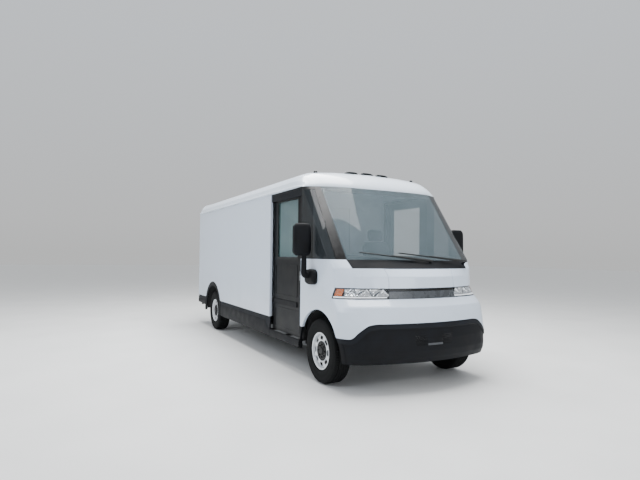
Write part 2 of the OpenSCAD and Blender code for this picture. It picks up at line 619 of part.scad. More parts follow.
module cab_frame() {
    color(black) both_sides() {
        // Windshield pillar, and the strip over the quarter glass
        skin_panel(function (a, b) let (z = mix(belt_h + 0.3, gutter_h - 0.6, b))
            [mix(glass_end(z), pillar_end(z), a), z], 8, 4, 14);
        skin_panel(function (a, b) let (z = mix(quarter_top, gutter_h - 0.6, b))
            [mix(pillar_end(z) - 0.02, 3, a), z], 10, 1, 14);
        // Front door post and the rail over the door
        difference() {
            block([door_front_x, door_front_x + 50], [beam_y, skin_y - skin_t - 0.5], [fender_low, quarter_top - 20]);
            bar_y(front_axle_x, [900, 1200], tyre_r, liner_r + 7, $fn = 96);
        }
        block([door_front_x, door_front_x + 50], [beam_y, skin_y - 22], [quarter_top - 20, quarter_top]);
        block([door_front_x, door_front_x + 50], [beam_y, skin_y - 14], [quarter_top, gutter_h - 0.6]);
        block([door_rear_x + 0.6, door_front_x], [beam_y, side_y - 12], [gutter_h - 22, gutter_h - 0.6]);
        block([door_rear_x + 0.6, door_front_x], [door_y[1] + 7, side_y - 12], [gutter_h - 112, gutter_h - 22]);
    }
    // Bulkhead between the cab and the nose, and the beam over the windshield
    color(grey) {
        block([front_axle_x + 300.5, front_axle_x + 306], [-well_y + 6, well_y - 6], [floor_h - floor_t, 1320]);
        both_sides() block([front_axle_x + 300.5, front_axle_x + 306], [well_y - 6, beam_y + 30], [900, 1320]);
        both_sides() block([door_front_x + 50, front_axle_x + 306], [beam_y, beam_y + 30], [1240, 1290]);
    }
}

module dashboard() color("#34373a") {
    x = front_axle_x;
    translate([0, beam_y - 1, 0]) rotate([90, 0, 0]) linear_extrude(2 * beam_y - 2) polygon([
        [x + 300, 960], [x + 300, 1335], [x + 120, 1350], [x - 30, 1290], [x - 70, 1190], [x - 40, 1120], [x + 60, 960]
    ]);
    // Instrument hood and the steering column
    block([x - 40, x + 150], [driver_y - 170, driver_y + 170], [1290, 1385]);
    translate(steering_centre) rotate([0, -steering_tilt, 0]) translate([18, 0, 0])
        rotate([0, 90, 0]) cylinder(r = 32, h = 200);
    // Pivot rod of the pedals between two ears
    bar_y(pedal_x, [driver_y - 190, driver_y + 30], pedal_z, 7);
    for (y = [driver_y - 190, driver_y + 22]) block([pedal_x - 14, pedal_x + 14], [y, y + 8], [pedal_z - 14, 962]);
    // Glove tray on the other side
    block([x - 90, x - 20], [-760, -260], [1100, 1124]);
}
steering_centre = [front_axle_x - 150, driver_y, 1330];
steering_tilt = -40;

module steering_wheel() color("#1d1f21") translate(steering_centre) rotate([0, -steering_tilt, 0]) rotate([0, 90, 0]) {
    rotate_extrude($fn = 72) translate([steering_r - 15, 0]) circle(r = 15, $fn = 24);
    translate([0, 0, -22]) cylinder(r = 58, h = 39);
    for (k = [0, 120, 240]) rotate([0, 0, k + 90]) translate([50, -16, -6]) cube([steering_r - 76, 32, 12]);
}

module seat_rails() color(black) {
    block([seat_back_x + 65, seat_back_x + 385], [driver_y - 190, driver_y + 190], [floor_h + 0.5, 930]);
    for (y = [driver_y - 170, driver_y + 140]) block([seat_back_x - 35, seat_back_x + 485], [y, y + 30], [930, 955]);
}
seat_back_x = front_axle_x - 935;
module seat_cushion() color("#2b2d30") {
    block([seat_back_x + 25, seat_back_x + 445], [driver_y - 225, driver_y + 225], [955.4, 990]);
    block([seat_back_x + 25, seat_back_x + 470], [driver_y - 235, driver_y + 235], [990, 1100]);
    both_sides_of(driver_y) block([seat_back_x - 20, seat_back_x + 65], [238, 252], [960, 1130]);
    both_sides_of(driver_y) bar_y(seat_back_x, [206, 240], 1110, 8);
    both_sides_of(driver_y) block([seat_back_x + 25, seat_back_x + 65], [225, 240], [960, 985]);
}
module both_sides_of(y) {
    translate([0, y, 0]) children();
    translate([0, y, 0]) mirror([0, 1, 0]) children();
}
module seat_back() color("#2b2d30") translate([seat_back_x, driver_y, 1110]) rotate([0, -8, 0]) {
    difference() {
        block([-75, 22], [-224, 224], [-12, 640]);
        both_sides() bar_y(0, [205, 260], 0, 8 + clear);
    }
    block([-60, 15], [-120, 120], [650, 830]);
    both_sides() block([-25, -12], [60, 74], [630, 660]);
}

module jump_seat() color("#2b2d30") {
    block([door_rear_x - 28, door_rear_x + 20], [-860, -460], [1030, 1420]);
    both_sides_of(-660) bar_y(door_rear_x - 12, [200, 222], 1040, 8);
}

module pedal(y, wide) {
    difference() {
        bar_y(pedal_x, [y - 20, y + 20], pedal_z, 13);
        bar_y(pedal_x, [y - 21, y + 21], pedal_z, 7 + clear);
    }
    translate([pedal_x, y, pedal_z]) rotate([0, 14, 0]) {
        block([-6, 6], [-8, 8], [-190, -10]);
        block([-14, -4], [-wide / 2, wide / 2], [-225, -165]);
    }
}
pedal_x = front_axle_x + 120;
pedal_z = 930;
module brake_pedal() color(steel) pedal(driver_y - 40, 80);
module accelerator_pedal() color(steel) pedal(driver_y - 160 + 20, 50);

module bulkhead() color("#c4c8cb") {
    x = [door_rear_x - 60, door_rear_x - 35];
    wide = lining_y[0] - 0.6;
    difference() {
        along_x(x) polygon([
            [-wide, floor_h + 0.5], [wide, floor_h + 0.5], [wide, gutter_h + 130], [wide - 89.4, gutter_h + 190],
            [0, roof_h - roof_t - 12], [89.4 - wide, gutter_h + 190], [-wide, gutter_h + 130]
        ]);
        block([x[0] - 30, x[1] + 45], [-300, 300], [floor_h, 2280]);
    }
    // Track for the bulkhead door, and brackets of the folding seat
    block([x[0] - 45, x[0] - 0.1], [-340, wide - 4.4], [2290, 2315]);
    both_sides_of(-660) difference() {
        block([x[1], x[1] + 37], [206, 232], [1020, 1060]);
        bar_y(x[1] + 23, [200, 226], 1040, 8 + clear);
    }
}
module bulkhead_door() color("#aeb3b7") {
    x = door_rear_x - 66;
    block([x - 28, x], [-330, 330], [floor_h + 6, 2289.6]);
    block([x, x + 5], [-270, -250], [1200, 1400]);
}

// ---- Side doors ----
module side_door() color("#3a3d40") {
    x = [door_rear_x + 5, door_front_x - 5];
    y = door_y;
    gx = [door_rear_x + 140, door_rear_x + 140 + door_glass_w];
    difference() {
        block(x, y, [door_bottom, gutter_h - 22.4]);
        block(gx, [y[0] - 1, y[1] + 1], [door_glass_h, gutter_h - 120]);
        // Recess for the pull
        block([x[1] - 130, x[1] - 60], [y[1] - 14, y[1] + 1], [1180, 1330]);
    }
    // Pull and rubbing rail
    block([x[1] - 105, x[1] - 85], [y[1] - 14, y[1] + 14], [1190, 1320]);
    block([x[0], x[1] - 200], [y[1], y[1] + 10], [830, 900]);
    block([x[1] - 90, x[1] - 70], [y[0] - 20, y[0]], [1000, 1300]);
}
module door_pane() color(glass)
    block([door_rear_x + 140.4, door_rear_x + 139.6 + door_glass_w], [door_y[0] + 17, door_y[0] + 17 + glass_t],
        [door_glass_h + 0.4, gutter_h - 120.4]);
module door_left() side_door();
module door_right() mirror([0, 1, 0]) side_door();
module door_glass_left() door_pane();
module door_glass_right() mirror([0, 1, 0]) door_pane();

// ---- Rear doors ----
module rear_leaf() {
    half = rear_opening_w / 2;
    x = [rear_x, rear_x + leaf_t];
    z = [floor_h + 5, floor_h + rear_opening_h - 5];
    color(white) difference() {
        block(x, [2, half - 4], z);
        block([x[0] - 1, x[1] + 1], [half - 560, half - 160], [1560, 2120]);
        block([x[0] + 8, x[1] + 1], [half - 620, half - 100], [820, 1450]);
    }
    color(glass) block([rear_x + 14, rear_x + 20], [half - 559.6, half - 160.4], [1560.4, 2119.6]);
    for (h = [floor_h + 180, floor_h + 800, floor_h + 1420]) difference() {
        union() {
            bar_z(rear_x - 12, half + 15, [h + 40 + clear, h + 110 - clear], hinge_pin_r + 6);
            block([rear_x - 9, rear_x - 3], [half - 120, half + 15], [h + 42, h + 108]);
            block([rear_x - 9, rear_x + 1], [half - 120, half - 8], [h + 42, h + 108]);
        }
        bar_z(rear_x - 12, half + 15, [h, h + 200], hinge_pin_r + clear);
    }
}
module rear_door_left() {
    rear_leaf();
    // Keeps for the locking bar
    color(steel) for (z = [740, 2180]) block([rear_x - 30, rear_x], [20, 50], [z, z + 40]);
}
module rear_door_right() mirror([0, 1, 0]) {
    rear_leaf();
    color(steel) {
        bar_x([rear_x - 26, rear_x + 4], 110, 1250, 9);
        block([rear_x - 4, rear_x + 1], [70, 150], [1180, 1320]);
    }
}
module bar_x(x, y, z, r) translate([x[0], y, z]) rotate([0, 90, 0]) cylinder(r = r, h = x[1] - x[0]);
module rear_latch() color(steel) difference() {
    union() {
        bar_x([rear_x - 28, rear_x - 4 - clear], -110, 1250, 20);
        block([rear_x - 26, rear_x - 14], [-124, -96], [1070, 1250]);
    }
    bar_x([rear_x - 30, rear_x], -110, 1250, 9 + clear);
}

module tail_lamps() color("#7d1f1c") both_sides() {
    block([rear_x - 11, rear_x - 0.5], [rear_opening_w / 2 + 150, side_y - 30], [980, 1240]);
    block([rear_x - 9, rear_x - 0.5], [rear_opening_w / 2 + 150, side_y - 30], [2250, 2310]);
}

// ---- Mirrors and wipers ----
mirror_x = front_axle_x - 130;
mirror_y = skin_y + 120;
mirror_z = belt_h + 40;
module mirror_bases() color(black) both_sides() {
    translate([mirror_x, skin_y + 0.4, 1265]) rotate([-90, 0, 0]) linear_extrude(62) rounded(270, 190, 50);
    translate([mirror_x, skin_y + 62, 1285]) rotate([-90, 0, 0]) cylinder(r = 34, h = mirror_y - skin_y - 62);
    bar_z(mirror_x, mirror_y, [1251, mirror_z - 0.5], 24);
    bar_z(mirror_x, mirror_y, [mirror_z - 0.5, mirror_z + 60], 10);
}
module rounded(w, h, r) {
    square([w - 2 * r, h], center = true);
    square([w, h - 2 * r], center = true);
    for (x = [-1, 1], y = [-1, 1]) translate([x * (w / 2 - r), y * (h / 2 - r)]) circle(r = r);
}
module mirror_head(side) {
    color(black) difference() {
        translate([mirror_x, side * (mirror_y + 30), mirror_z]) linear_extrude(mirror_h) rounded(96, 230, 34);
        translate([mirror_x - 60, side * (mirror_y + 30) - 98, mirror_z + 16]) cube([24, 196, mirror_h - 32]);
        bar_z(mirror_x, side * mirror_y, [mirror_z - 1, mirror_z + 62], 10 + clear);
    }
    color("#9aa6ad") translate([mirror_x - 42, side * (mirror_y + 30) - 97.6, mirror_z + 16.4])
        cube([5.6, 195.2, mirror_h - 32.8]);
}
module mirror_head_left() mirror_head(1);
module mirror_head_right() mirror_head(-1);

wiper_rest = 7;
module wiper(y) color("#17181a") on_glass(y) translate([wiper_foot, 0, wiper_lift]) {
    difference() {
        cylinder(r = 18, h = 22);
        translate([0, 0, -1]) cylinder(r = 7 + clear, h = 17);
    }
    rotate([0, 0, -wiper_rest]) {
        block([-11, 11], [-wiper_len * 0.55, -10], [8, 20]);
        block([-7, 7], [-wiper_len, -wiper_len * 0.2], [-8, 10]);
    }
}
module wiper_left() wiper(wiper_y[1]);
module wiper_right() wiper(wiper_y[0]);

chassis_frame();
battery_pack();
floor_panel();
front_suspension();
rear_axle();
drive_unit();
cargo_side_left();
cargo_side_right();
roof_panel();
rear_frame();
cab_frame();
roof_cap();
front_fenders();
front_fascia();
front_bumper();
cowl_panel();
windshield();
quarter_glasses();
light_bar();
headlamps();
sills();
rear_bumper();
wheel_liners();
arch_trims();
marker_lamps();
tail_lamps();
bulkhead();
dashboard();
seat_rails();
mirror_bases();
door_left();
door_right();
door_glass_left();
door_glass_right();
rear_door_left();
rear_door_right();
rear_latch();
bulkhead_door();
hood();
wiper_left();
wiper_right();
mirror_head_left();
mirror_head_right();
steering_wheel();
seat_cushion();
seat_back();
jump_seat();
brake_pedal();
accelerator_pedal();
knuckle_left();
knuckle_right();
steering_rack();
tyre_front_left();
tyre_front_right();
tyre_rear_left();
tyre_rear_right();
wheel_front_left();
wheel_front_right();
wheel_rear_left();
wheel_rear_right();
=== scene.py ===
"""Looks of a walk-through electric mail delivery truck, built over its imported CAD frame.

The cab's outside is one curved skin. At a height z its plan starts on the centre line at the nose profile,
falls back by (bow2 times y squared, plus bow6 times y to the sixth) across the front, turns the corner on a
quadratic curve and runs straight back to the side door. A place on it is (u, z): u is 0 on the centre line,
1 where the corner starts, 2 where it ends and 3 at the door, and negative on the right-hand side.
Metres, +X forward, +Y left, +Z up.
"""
import json
import math

import bmesh
import bpy
import numpy as np
from mathutils import Matrix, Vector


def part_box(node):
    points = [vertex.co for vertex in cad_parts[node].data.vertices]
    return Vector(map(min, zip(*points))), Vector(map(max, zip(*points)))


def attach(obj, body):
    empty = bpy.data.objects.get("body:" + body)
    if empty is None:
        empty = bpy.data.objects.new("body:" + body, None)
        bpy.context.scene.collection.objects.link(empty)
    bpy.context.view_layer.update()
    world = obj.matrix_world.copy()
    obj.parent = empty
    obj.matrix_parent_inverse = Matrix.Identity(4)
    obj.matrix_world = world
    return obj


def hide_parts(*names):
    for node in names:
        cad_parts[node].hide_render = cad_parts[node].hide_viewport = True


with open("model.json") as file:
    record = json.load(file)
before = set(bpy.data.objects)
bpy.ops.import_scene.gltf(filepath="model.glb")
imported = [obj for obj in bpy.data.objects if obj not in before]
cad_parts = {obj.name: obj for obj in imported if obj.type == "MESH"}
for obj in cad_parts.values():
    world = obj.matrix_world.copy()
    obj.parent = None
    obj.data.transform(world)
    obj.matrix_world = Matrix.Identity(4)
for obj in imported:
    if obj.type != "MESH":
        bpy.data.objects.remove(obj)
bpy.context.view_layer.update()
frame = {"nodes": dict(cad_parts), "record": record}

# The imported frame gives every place: axles, body sides, belt line, gutter, roof, doors and floor.
NODES = frame["nodes"]
tyre_lo, tyre_hi = map(np.array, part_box("tyre_front_left"))
axle_x = (tyre_lo[0] + tyre_hi[0]) / 2
tyre_r = (tyre_hi[0] - tyre_lo[0]) / 2
wheel_y = (tyre_lo[1] + tyre_hi[1]) / 2
tyre_half = (tyre_hi[1] - tyre_lo[1]) / 2
rear_lo, rear_hi = map(np.array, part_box("tyre_rear_left"))
rear_axle_x = (rear_lo[0] + rear_hi[0]) / 2
side_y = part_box("cargo_side_left")[1][1]
skin_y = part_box("front_fenders")[1][1]
nose_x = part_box("front_bumper")[1][0] - axle_x
belt_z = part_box("windshield")[0][2]
gutter_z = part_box("roof_cap")[0][2]
roof_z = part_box("roof_panel")[1][2]
rear_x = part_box("roof_panel")[0][0]
cap_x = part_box("roof_cap")[0][0]
door_front_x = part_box("front_fenders")[0][0]
door_rear_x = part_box("cargo_side_left")[1][0]
panel_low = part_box("rear_frame")[0][2] + 0.065
floor_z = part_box("floor_panel")[1][2]


# ---- Body paint ----
# Two-pack polyurethane on aluminium sheet: near white with a cold cast, a clear glossy coat and a faint
# orange-peel ripple. Road dust dulls it a little towards the lower edges.
def linear(colour):
    """sRGB hex to linear red, green and blue with full alpha, by the sRGB curve."""
    values = [int(colour[i:i + 2], 16) / 255 for i in (1, 3, 5)]
    return [v / 12.92 if v < 0.04045 else ((v + 0.055) / 1.055) ** 2.4 for v in values] + [1.0]


def add(tree, kind, inputs=None, **settings):
    """Adds one shader node, sets its settings, and fills or links its inputs by socket name or number."""
    made = tree.nodes.new(kind)
    for key, value in settings.items():
        setattr(made, key, value)
    for key, value in (inputs or {}).items():
        if isinstance(value, bpy.types.NodeSocket):
            tree.links.new(value, made.inputs[key])
        else:
            made.inputs[key].default_value = value
    return made


def new_material(name, surface=None):
    """A material with one Principled shader and its constants. Returns it with its tree, shader and place."""
    made = bpy.data.materials.new(name)
    made.use_nodes = True
    tree = made.node_tree
    shader = tree.nodes["Principled BSDF"]
    for key, value in (surface or {}).items():
        shader.inputs[key].default_value = value
    return made, tree, shader, add(tree, "ShaderNodeTexCoord").outputs["Object"]


def ramp(tree, value, stops):
    """Colour ramp: each stop is a position and a hex colour."""
    made = add(tree, "ShaderNodeValToRGB", {"Fac": value})
    band = made.color_ramp
    while len(band.elements) < len(stops):
        band.elements.new(0.5)
    for element, (position, colour) in zip(band.elements, stops):
        element.position = position
        element.color = linear(colour)
    return made.outputs["Color"]


def remap(tree, value, lo, hi, to_lo, to_hi):
    """Value carried from lo..hi to to_lo..to_hi and held at the ends."""
    return add(tree, "ShaderNodeMapRange", {
        "Value": value, "From Min": lo, "From Max": hi, "To Min": to_lo, "To Max": to_hi}).outputs["Result"]


def noise(tree, place, size_mm, detail=3.0):
    """Noise whose lumps are about size_mm across."""
    return add(tree, "ShaderNodeTexNoise", {
        "Vector": place, "Scale": 1000 / size_mm, "Detail": detail}).outputs["Fac"]


def bump(tree, shader, height, depth_mm, strength=1.0):
    """Bump of the given depth on a shader's normal."""
    made = add(tree, "ShaderNodeBump", {"Height": height, "Distance": depth_mm / 1000, "Strength": strength})
    tree.links.new(made.outputs["Normal"], shader.inputs["Normal"])


def multiply(tree, a, b):
    return add(tree, "ShaderNodeMath", {0: a, 1: b}, operation="MULTIPLY").outputs[0]


def body_paint(name, colour, dusty):
    """Glossy paint whose dust grows towards the ground."""
    made, tree, shader, place = new_material(name, {"Coat Weight": 0.8, "Coat Roughness": 0.05, "IOR": 1.5})
    height = add(tree, "ShaderNodeSeparateXYZ", {"Vector": place}).outputs["Z"]
    dust = multiply(tree, remap(tree, height, 0.45, 1.2, 1.0, 0.06), noise(tree, place, 380, 5.0))
    tree.links.new(ramp(tree, dust, [(0.0, colour), (0.8, dusty)]), shader.inputs["Base Color"])
    tree.links.new(remap(tree, dust, 0.0, 0.6, 0.3, 0.5), shader.inputs["Roughness"])
    bump(tree, shader, noise(tree, place, 7, 2.0), 0.02, 0.5)
    return made


white_paint = body_paint("white_polyurethane_paint", "#d3e0f0", "#b9c3cf")
roof_paint = body_paint("white_gelcoat_fibreglass", "#dbe6f2", "#c4ced8")


# ---- Plastics, metals and other dry finishes ----
# Moulded, coated and cast surfaces share one recipe: clouded colour, a fine grain in the surface, and a
# roughness that follows the clouding. Dust settles as the lighter of the two colours.
def finish(name, dark, light, cloud_mm, grain_mm, depth_mm, rough, surface=None):
    """Dry finish from two colours, the sizes of clouding and grain, grain depth and a roughness range."""
    made, tree, shader, place = new_material(name, surface)
    cloud = noise(tree, place, cloud_mm, 6.0)
    tree.links.new(ramp(tree, cloud, [(0.36, dark), (0.66, light)]), shader.inputs["Base Color"])
    tree.links.new(remap(tree, cloud, 0.3, 0.7, rough[0], rough[1]), shader.inputs["Roughness"])
    bump(tree, shader, noise(tree, place, grain_mm, 2.0), depth_mm, 0.8)
    return made


black_trim = finish("grained_black_polypropylene", "#0b0c0f", "#121418", 160, 2.2, 0.22, (0.5, 0.65),
                    {"Specular IOR Level": 0.14})
cladding = finish("weathered_charcoal_polypropylene", "#101318", "#181b21", 220, 2.4, 0.25, (0.5, 0.65),
                  {"Specular IOR Level": 0.16})
gloss_black = finish("gloss_black_acrylic", "#08090b", "#0d0f11", 90, 9, 0.01, (0.16, 0.28),
                    {"Specular IOR Level": 0.3})
frame_black = finish("chassis_black_epoxy_coat", "#0c0d0d", "#1b1a19", 120, 4, 0.12, (0.4, 0.7))
battery_grey = finish("powder_coated_grey_steel", "#3a3e42", "#4d5154", 180, 3, 0.12, (0.4, 0.6))
floor_grey = finish("phenolic_coated_birch_floor", "#45474a", "#5c5d5e", 140, 3, 0.15, (0.45, 0.7))
steel_dark = finish("forged_steel_with_road_film", "#4b4a48", "#6d6c6a", 60, 2.5, 0.15, (0.35, 0.6),
                    {"Metallic": 0.7})
motor_grey = finish("sand_cast_aluminium", "#85888a", "#a2a4a6", 60, 1.6, 0.18, (0.4, 0.55), {"Metallic": 0.8})
liner_black = finish("needled_black_felt", "#101112", "#1d1e1f", 60, 1.5, 0.4, (0.8, 0.95))
panel_grey = finish("light_grey_laminate", "#aeb4b8", "#c3c8cc", 300, 2, 0.08, (0.35, 0.5))
lining_white = finish("white_fibreglass_lining", "#c9ced1", "#d8dcdf", 300, 3, 0.08, (0.4, 0.55))
dash_grey = finish("soft_grained_dashboard_skin", "#191b1e", "#232528", 120, 1.4, 0.2, (0.55, 0.7))
door_grey = finish("satin_black_powder_coat", "#08090b", "#0d0f12", 200, 1.8, 0.08, (0.38, 0.5),
                   {"Specular IOR Level": 0.16})
wiper_black = finish("matt_black_coated_steel", "#070808", "#0e0f10", 50, 1.2, 0.06, (0.4, 0.55))
seal_rubber = finish("epdm_door_seal", "#0c0d0d", "#161717", 40, 1.0, 0.1, (0.6, 0.8))
pedal_steel = finish("zinc_plated_steel", "#8f9294", "#abaeb0", 35, 1.2, 0.06, (0.25, 0.45), {"Metallic": 1.0})
latch_steel = finish("polished_stainless_steel", "#a6a9ab", "#c2c5c7", 45, 1.0, 0.03, (0.18, 0.34), {"Metallic": 1.0})
alloy_trim = finish("clear_anodised_aluminium", "#cfd3d7", "#dfe3e6", 80, 1.0, 0.03, (0.25, 0.38), {"Metallic": 0.55})


# ---- Glass and lamp materials ----
# Laminated and tempered panes with a grey-green tint, and lamp lenses. Thin dust and wiper haze show only in
# the roughness; the tint is held by the alpha, so what is inside stays readable.
def pane(name, colour, alpha, rough=(0.02, 0.06), surface=None):
    """See-through sheet with a slight haze."""
    made, tree, shader, place = new_material(name, {
        "Alpha": alpha, "IOR": 1.45, "Specular IOR Level": 0.3, **(surface or {})})
    haze = noise(tree, place, 240, 4.0)
    tree.links.new(remap(tree, haze, 0.35, 0.75, rough[0], rough[1]), shader.inputs["Roughness"])
    tree.links.new(ramp(tree, haze, [(0.3, colour[0]), (0.8, colour[1])]), shader.inputs["Base Color"])
    bump(tree, shader, noise(tree, place, 500, 1.0), 0.05, 0.3)
    return made


windshield_glass = pane("laminated_windshield_glass", ("#66757b", "#73828a"), 0.32)
side_glass = pane("tempered_side_glass", ("#6f9496", "#7ca0a2"), 0.2)
quarter_glass = pane("smoked_quarter_glass", ("#1f2427", "#2a3033"), 0.62)
clear_lens = pane("clear_polycarbonate_lens", ("#9aa2a8", "#abb2b8"), 0.05, (0.03, 0.08))
bar_lens = finish("grey_satin_lens", "#3a3e42", "#484c51", 90, 3, 0.03, (0.22, 0.34))
smoked_lens = pane("smoked_polycarbonate_lens", ("#15181a", "#1d2022"), 0.86, (0.06, 0.16))
red_lens = pane("red_acrylic_lens", ("#5e0d0b", "#7a1512"), 0.92, (0.08, 0.16))
amber_lens = pane("amber_acrylic_lens", ("#a24b0c", "#c4620f"), 0.95, (0.08, 0.16))
lamp_chrome = finish("aluminised_reflector", "#c9ccd0", "#e4e7ea", 25, 3, 0.02, (0.06, 0.14), {"Metallic": 1.0})
led_white = finish("white_light_guide", "#e9edf2", "#f6f8fa", 40, 4, 0.02, (0.25, 0.35), {
    "Emission Color": (0.86, 0.92, 1.0, 1.0), "Emission Strength": 0.35})
mirror_glass = finish("silvered_mirror_glass", "#aebac2", "#c2ccd3", 200, 40, 0.01, (0.02, 0.05), {"Metallic": 1.0})


# ---- Running gear ----
# Welded ladder frame, battery, floor, suspension and axles: the CAD nodes are shown as they are, each with the
# finish of its own metal, coating or board.
BODIES = frame["record"]["behaviour"]["bodies"]


def body_of(node):
    """Name of the CAD body that holds a node."""
    return next(body for body, members in BODIES.items() if node in members)


def dress(node, material):
    """Gives a CAD node that stays in view its finish."""
    mesh = NODES[node].data
    mesh.materials.clear()
    mesh.materials.append(material)


for kept, kept_finish in [
        ("chassis_frame", frame_black), ("battery_pack", battery_grey), ("floor_panel", floor_grey),
        ("front_suspension", steel_dark), ("rear_axle", steel_dark), ("drive_unit", motor_grey),
        ("knuckle_left", steel_dark), ("knuckle_right", steel_dark), ("steering_rack", steel_dark),
        ("wheel_liners", liner_black), ("seat_rails", frame_black), ("bulkhead", panel_grey),
        ("bulkhead_door", panel_grey), ("brake_pedal", pedal_steel), ("accelerator_pedal", pedal_steel),
        ("rear_latch", latch_steel)]:
    dress(kept, kept_finish)


# ---- Tyres ----
# Radial road tyres of carbon-filled rubber. The section runs round the bead, sidewall and tread; three grooves
# go round and angled cuts cross the shoulders, and fine rings mark the sidewall.
def make_mesh(name, points, faces, material, body, replaces=(), sharp=32, slot=None):
    """Mesh object with smooth faces, sharp only at edges above the given angle. Closed shells face outward."""
    mesh = bpy.data.meshes.new(name)
    faces = faces.tolist() if isinstance(faces, np.ndarray) else [list(map(int, f)) for f in faces]
    mesh.from_pydata(np.asarray(points, float).reshape(-1, 3).tolist(), [], faces)
    return finish_mesh(name, mesh, material, body, replaces, sharp, slot)


def finish_mesh(name, mesh, material, body, replaces=(), sharp=32, slot=None):
    shell = bmesh.new()
    shell.from_mesh(mesh)
    bmesh.ops.remove_doubles(shell, verts=shell.verts, dist=1e-5)
    if shell.calc_volume(signed=True) < 0:
        bmesh.ops.reverse_faces(shell, faces=shell.faces)
    shell.to_mesh(mesh)
    shell.free()
    mesh.polygons.foreach_set("use_smooth", np.ones(len(mesh.polygons), bool))
    mesh.set_sharp_from_angle(angle=math.radians(sharp))
    mesh.materials.append(material)
    made = bpy.data.objects.new(name, mesh)
    bpy.context.scene.collection.objects.link(made)
    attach(made, body)
    if replaces:
        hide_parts(*replaces)
    return made


def grid_faces(rows, columns, close_rows=False, close_columns=False):
    """Quads of a grid of rows by columns points, closed round either way on request."""
    i = np.arange(rows if close_rows else rows - 1)[:, None]
    j = np.arange(columns if close_columns else columns - 1)[None, :]
    here, there, k = i * columns, (i + 1) % rows * columns, (j + 1) % columns
    return np.stack([here + j, there + j, there + k, here + k], -1).reshape(-1, 4)


def round_edges(made, width, segments=3, angle=35):
    """Rounds every edge sharper than the angle."""
    bevel = made.modifiers.new("rounded_edges", "BEVEL")
    bevel.width = width
    bevel.segments = segments
    bevel.limit_method = "ANGLE"
    bevel.angle_limit = math.radians(angle)
    return made


def resample(line, step):
    """Points along a broken line at about equal steps, corners kept."""
    line = np.asarray(line, float)
    out = []
    for a, b in zip(line[:-1], line[1:]):
        n = max(1, int(round(np.linalg.norm(b - a) / step)))
        out += [a + (b - a) * k / n for k in range(n)]
    return np.array(out + [line[-1]])


def rounded_line(line, step, passes=2):
    """Resampled line with its corners softened by repeated three-point averages; the ends stay."""
    points = resample(line, step)
    for _ in range(passes):
        points[1:-1] = (points[:-2] + 2 * points[1:-1] + points[2:]) / 4
    return points


tyre_rubber = finish("carbon_black_tyre_rubber", "#0e0f10", "#181919", 45, 1.0, 0.12, (0.7, 0.9),
                     {"Specular IOR Level": 0.14})
bead_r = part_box("wheel_front_left")[1][2] - tyre_r
TYRE_OUTER = [
    (bead_r - 0.016, 0.084), (bead_r + 0.002, 0.093), (bead_r + 0.014, tyre_half - 0.008),
    (bead_r + 0.06, tyre_half - 0.0005), (tyre_r - 0.045, tyre_half - 0.002), (tyre_r - 0.012, tyre_half - 0.015),
    (tyre_r - 0.0015, tyre_half - 0.038), (tyre_r - 0.0005, 0)]


def build_tyre(name, x, side):
    half = rounded_line(TYRE_OUTER, 0.0035, 4)
    outer = np.concatenate([half, half[-2::-1] * [1, -1]])
    r, w = outer[:, 0], outer[:, 1]
    inner_r = np.clip(r - 0.013, bead_r - 0.016, None)
    inner_w = np.sign(w) * np.clip(np.abs(w) - 0.012, 0, 0.1)
    around = 400
    angle = np.linspace(0, 2 * np.pi, around, endpoint=False)[:, None]
    on_tread = np.clip((r - (tyre_r - 0.011)) / 0.006, 0, 1)
    grooves = sum(np.exp(-((w - c) / 0.0042) ** 4) for c in (-0.054, -0.018, 0.018, 0.054))
    cut = np.sin(80 * angle + 34 * w) > 0.72
    shoulder = (np.abs(w) > 0.058) * on_tread
    sipe = (np.abs(np.sin(40 * angle - 30 * w)) < 0.12) * on_tread * (np.abs(w) < 0.055)
    sunk = 0.0085 * np.minimum(1, grooves * on_tread + cut * shoulder * 0.8 + sipe * 0.35)
    rings = 0.0011 * sum(np.exp(-((r - (bead_r + c)) / 0.0022) ** 2) for c in (0.03, 0.052, 0.078, 0.1))
    radius = r - sunk
    wide = w + np.sign(w) * rings * (1 - on_tread)
    lining = np.unique(np.r_[0:len(r):6, len(r) - 1])[::-1]
    full_r = np.concatenate([radius * np.ones_like(angle), inner_r[lining] * np.ones_like(angle)], 1)
    full_w = np.concatenate([wide * np.ones_like(angle), inner_w[lining] * np.ones_like(angle)], 1)
    points = np.stack([x + full_r * np.cos(angle), side * (wheel_y + full_w), tyre_r + full_r * np.sin(angle)], -1)
    faces = grid_faces(around, full_r.shape[1], True, True)
    return make_mesh(name, points, faces, tyre_rubber, body_of(name), [name], 40, "tyre_rubber")


WHEEL_PLACES = [("front_left", axle_x, 1), ("front_right", axle_x, -1),
                ("rear_left", rear_axle_x, 1), ("rear_right", rear_axle_x, -1)]
for corner_name, corner_x, corner_side in WHEEL_PLACES:
    build_tyre(f"tyre_{corner_name}", corner_x, corner_side)


# ---- Wheels ----
# Pressed steel discs welded in rolled rims, painted silver-white, with eight rounded windows, a deep black centre
# cover and eight nuts. A cast hub and a brake disc, all turned, sit behind. In front of them sits a turned drum
# face, drawn black and out nearly to the rim as painted shade that darkens the windows.
wheel_silver = finish("silver_white_wheel_enamel", "#c9cdd1", "#dde0e3", 70, 2.5, 0.04, (0.25, 0.4),
                      {"Coat Weight": 0.4})
brake_iron = finish("turned_cast_iron", "#1b1a1a", "#2a2928", 30, 0.8, 0.05, (0.5, 0.7), {"Metallic": 0.3})
# Black enamel of the hub cover and nuts; the same black is used as painted shade on the drum face behind the windows.
hub_black_and_wheel_shade = finish("black_hub_enamel_and_painted_wheel_shade", "#08090a", "#101112", 40, 2, 0.05, (0.4, 0.55),
                   {"Specular IOR Level": 0.3})


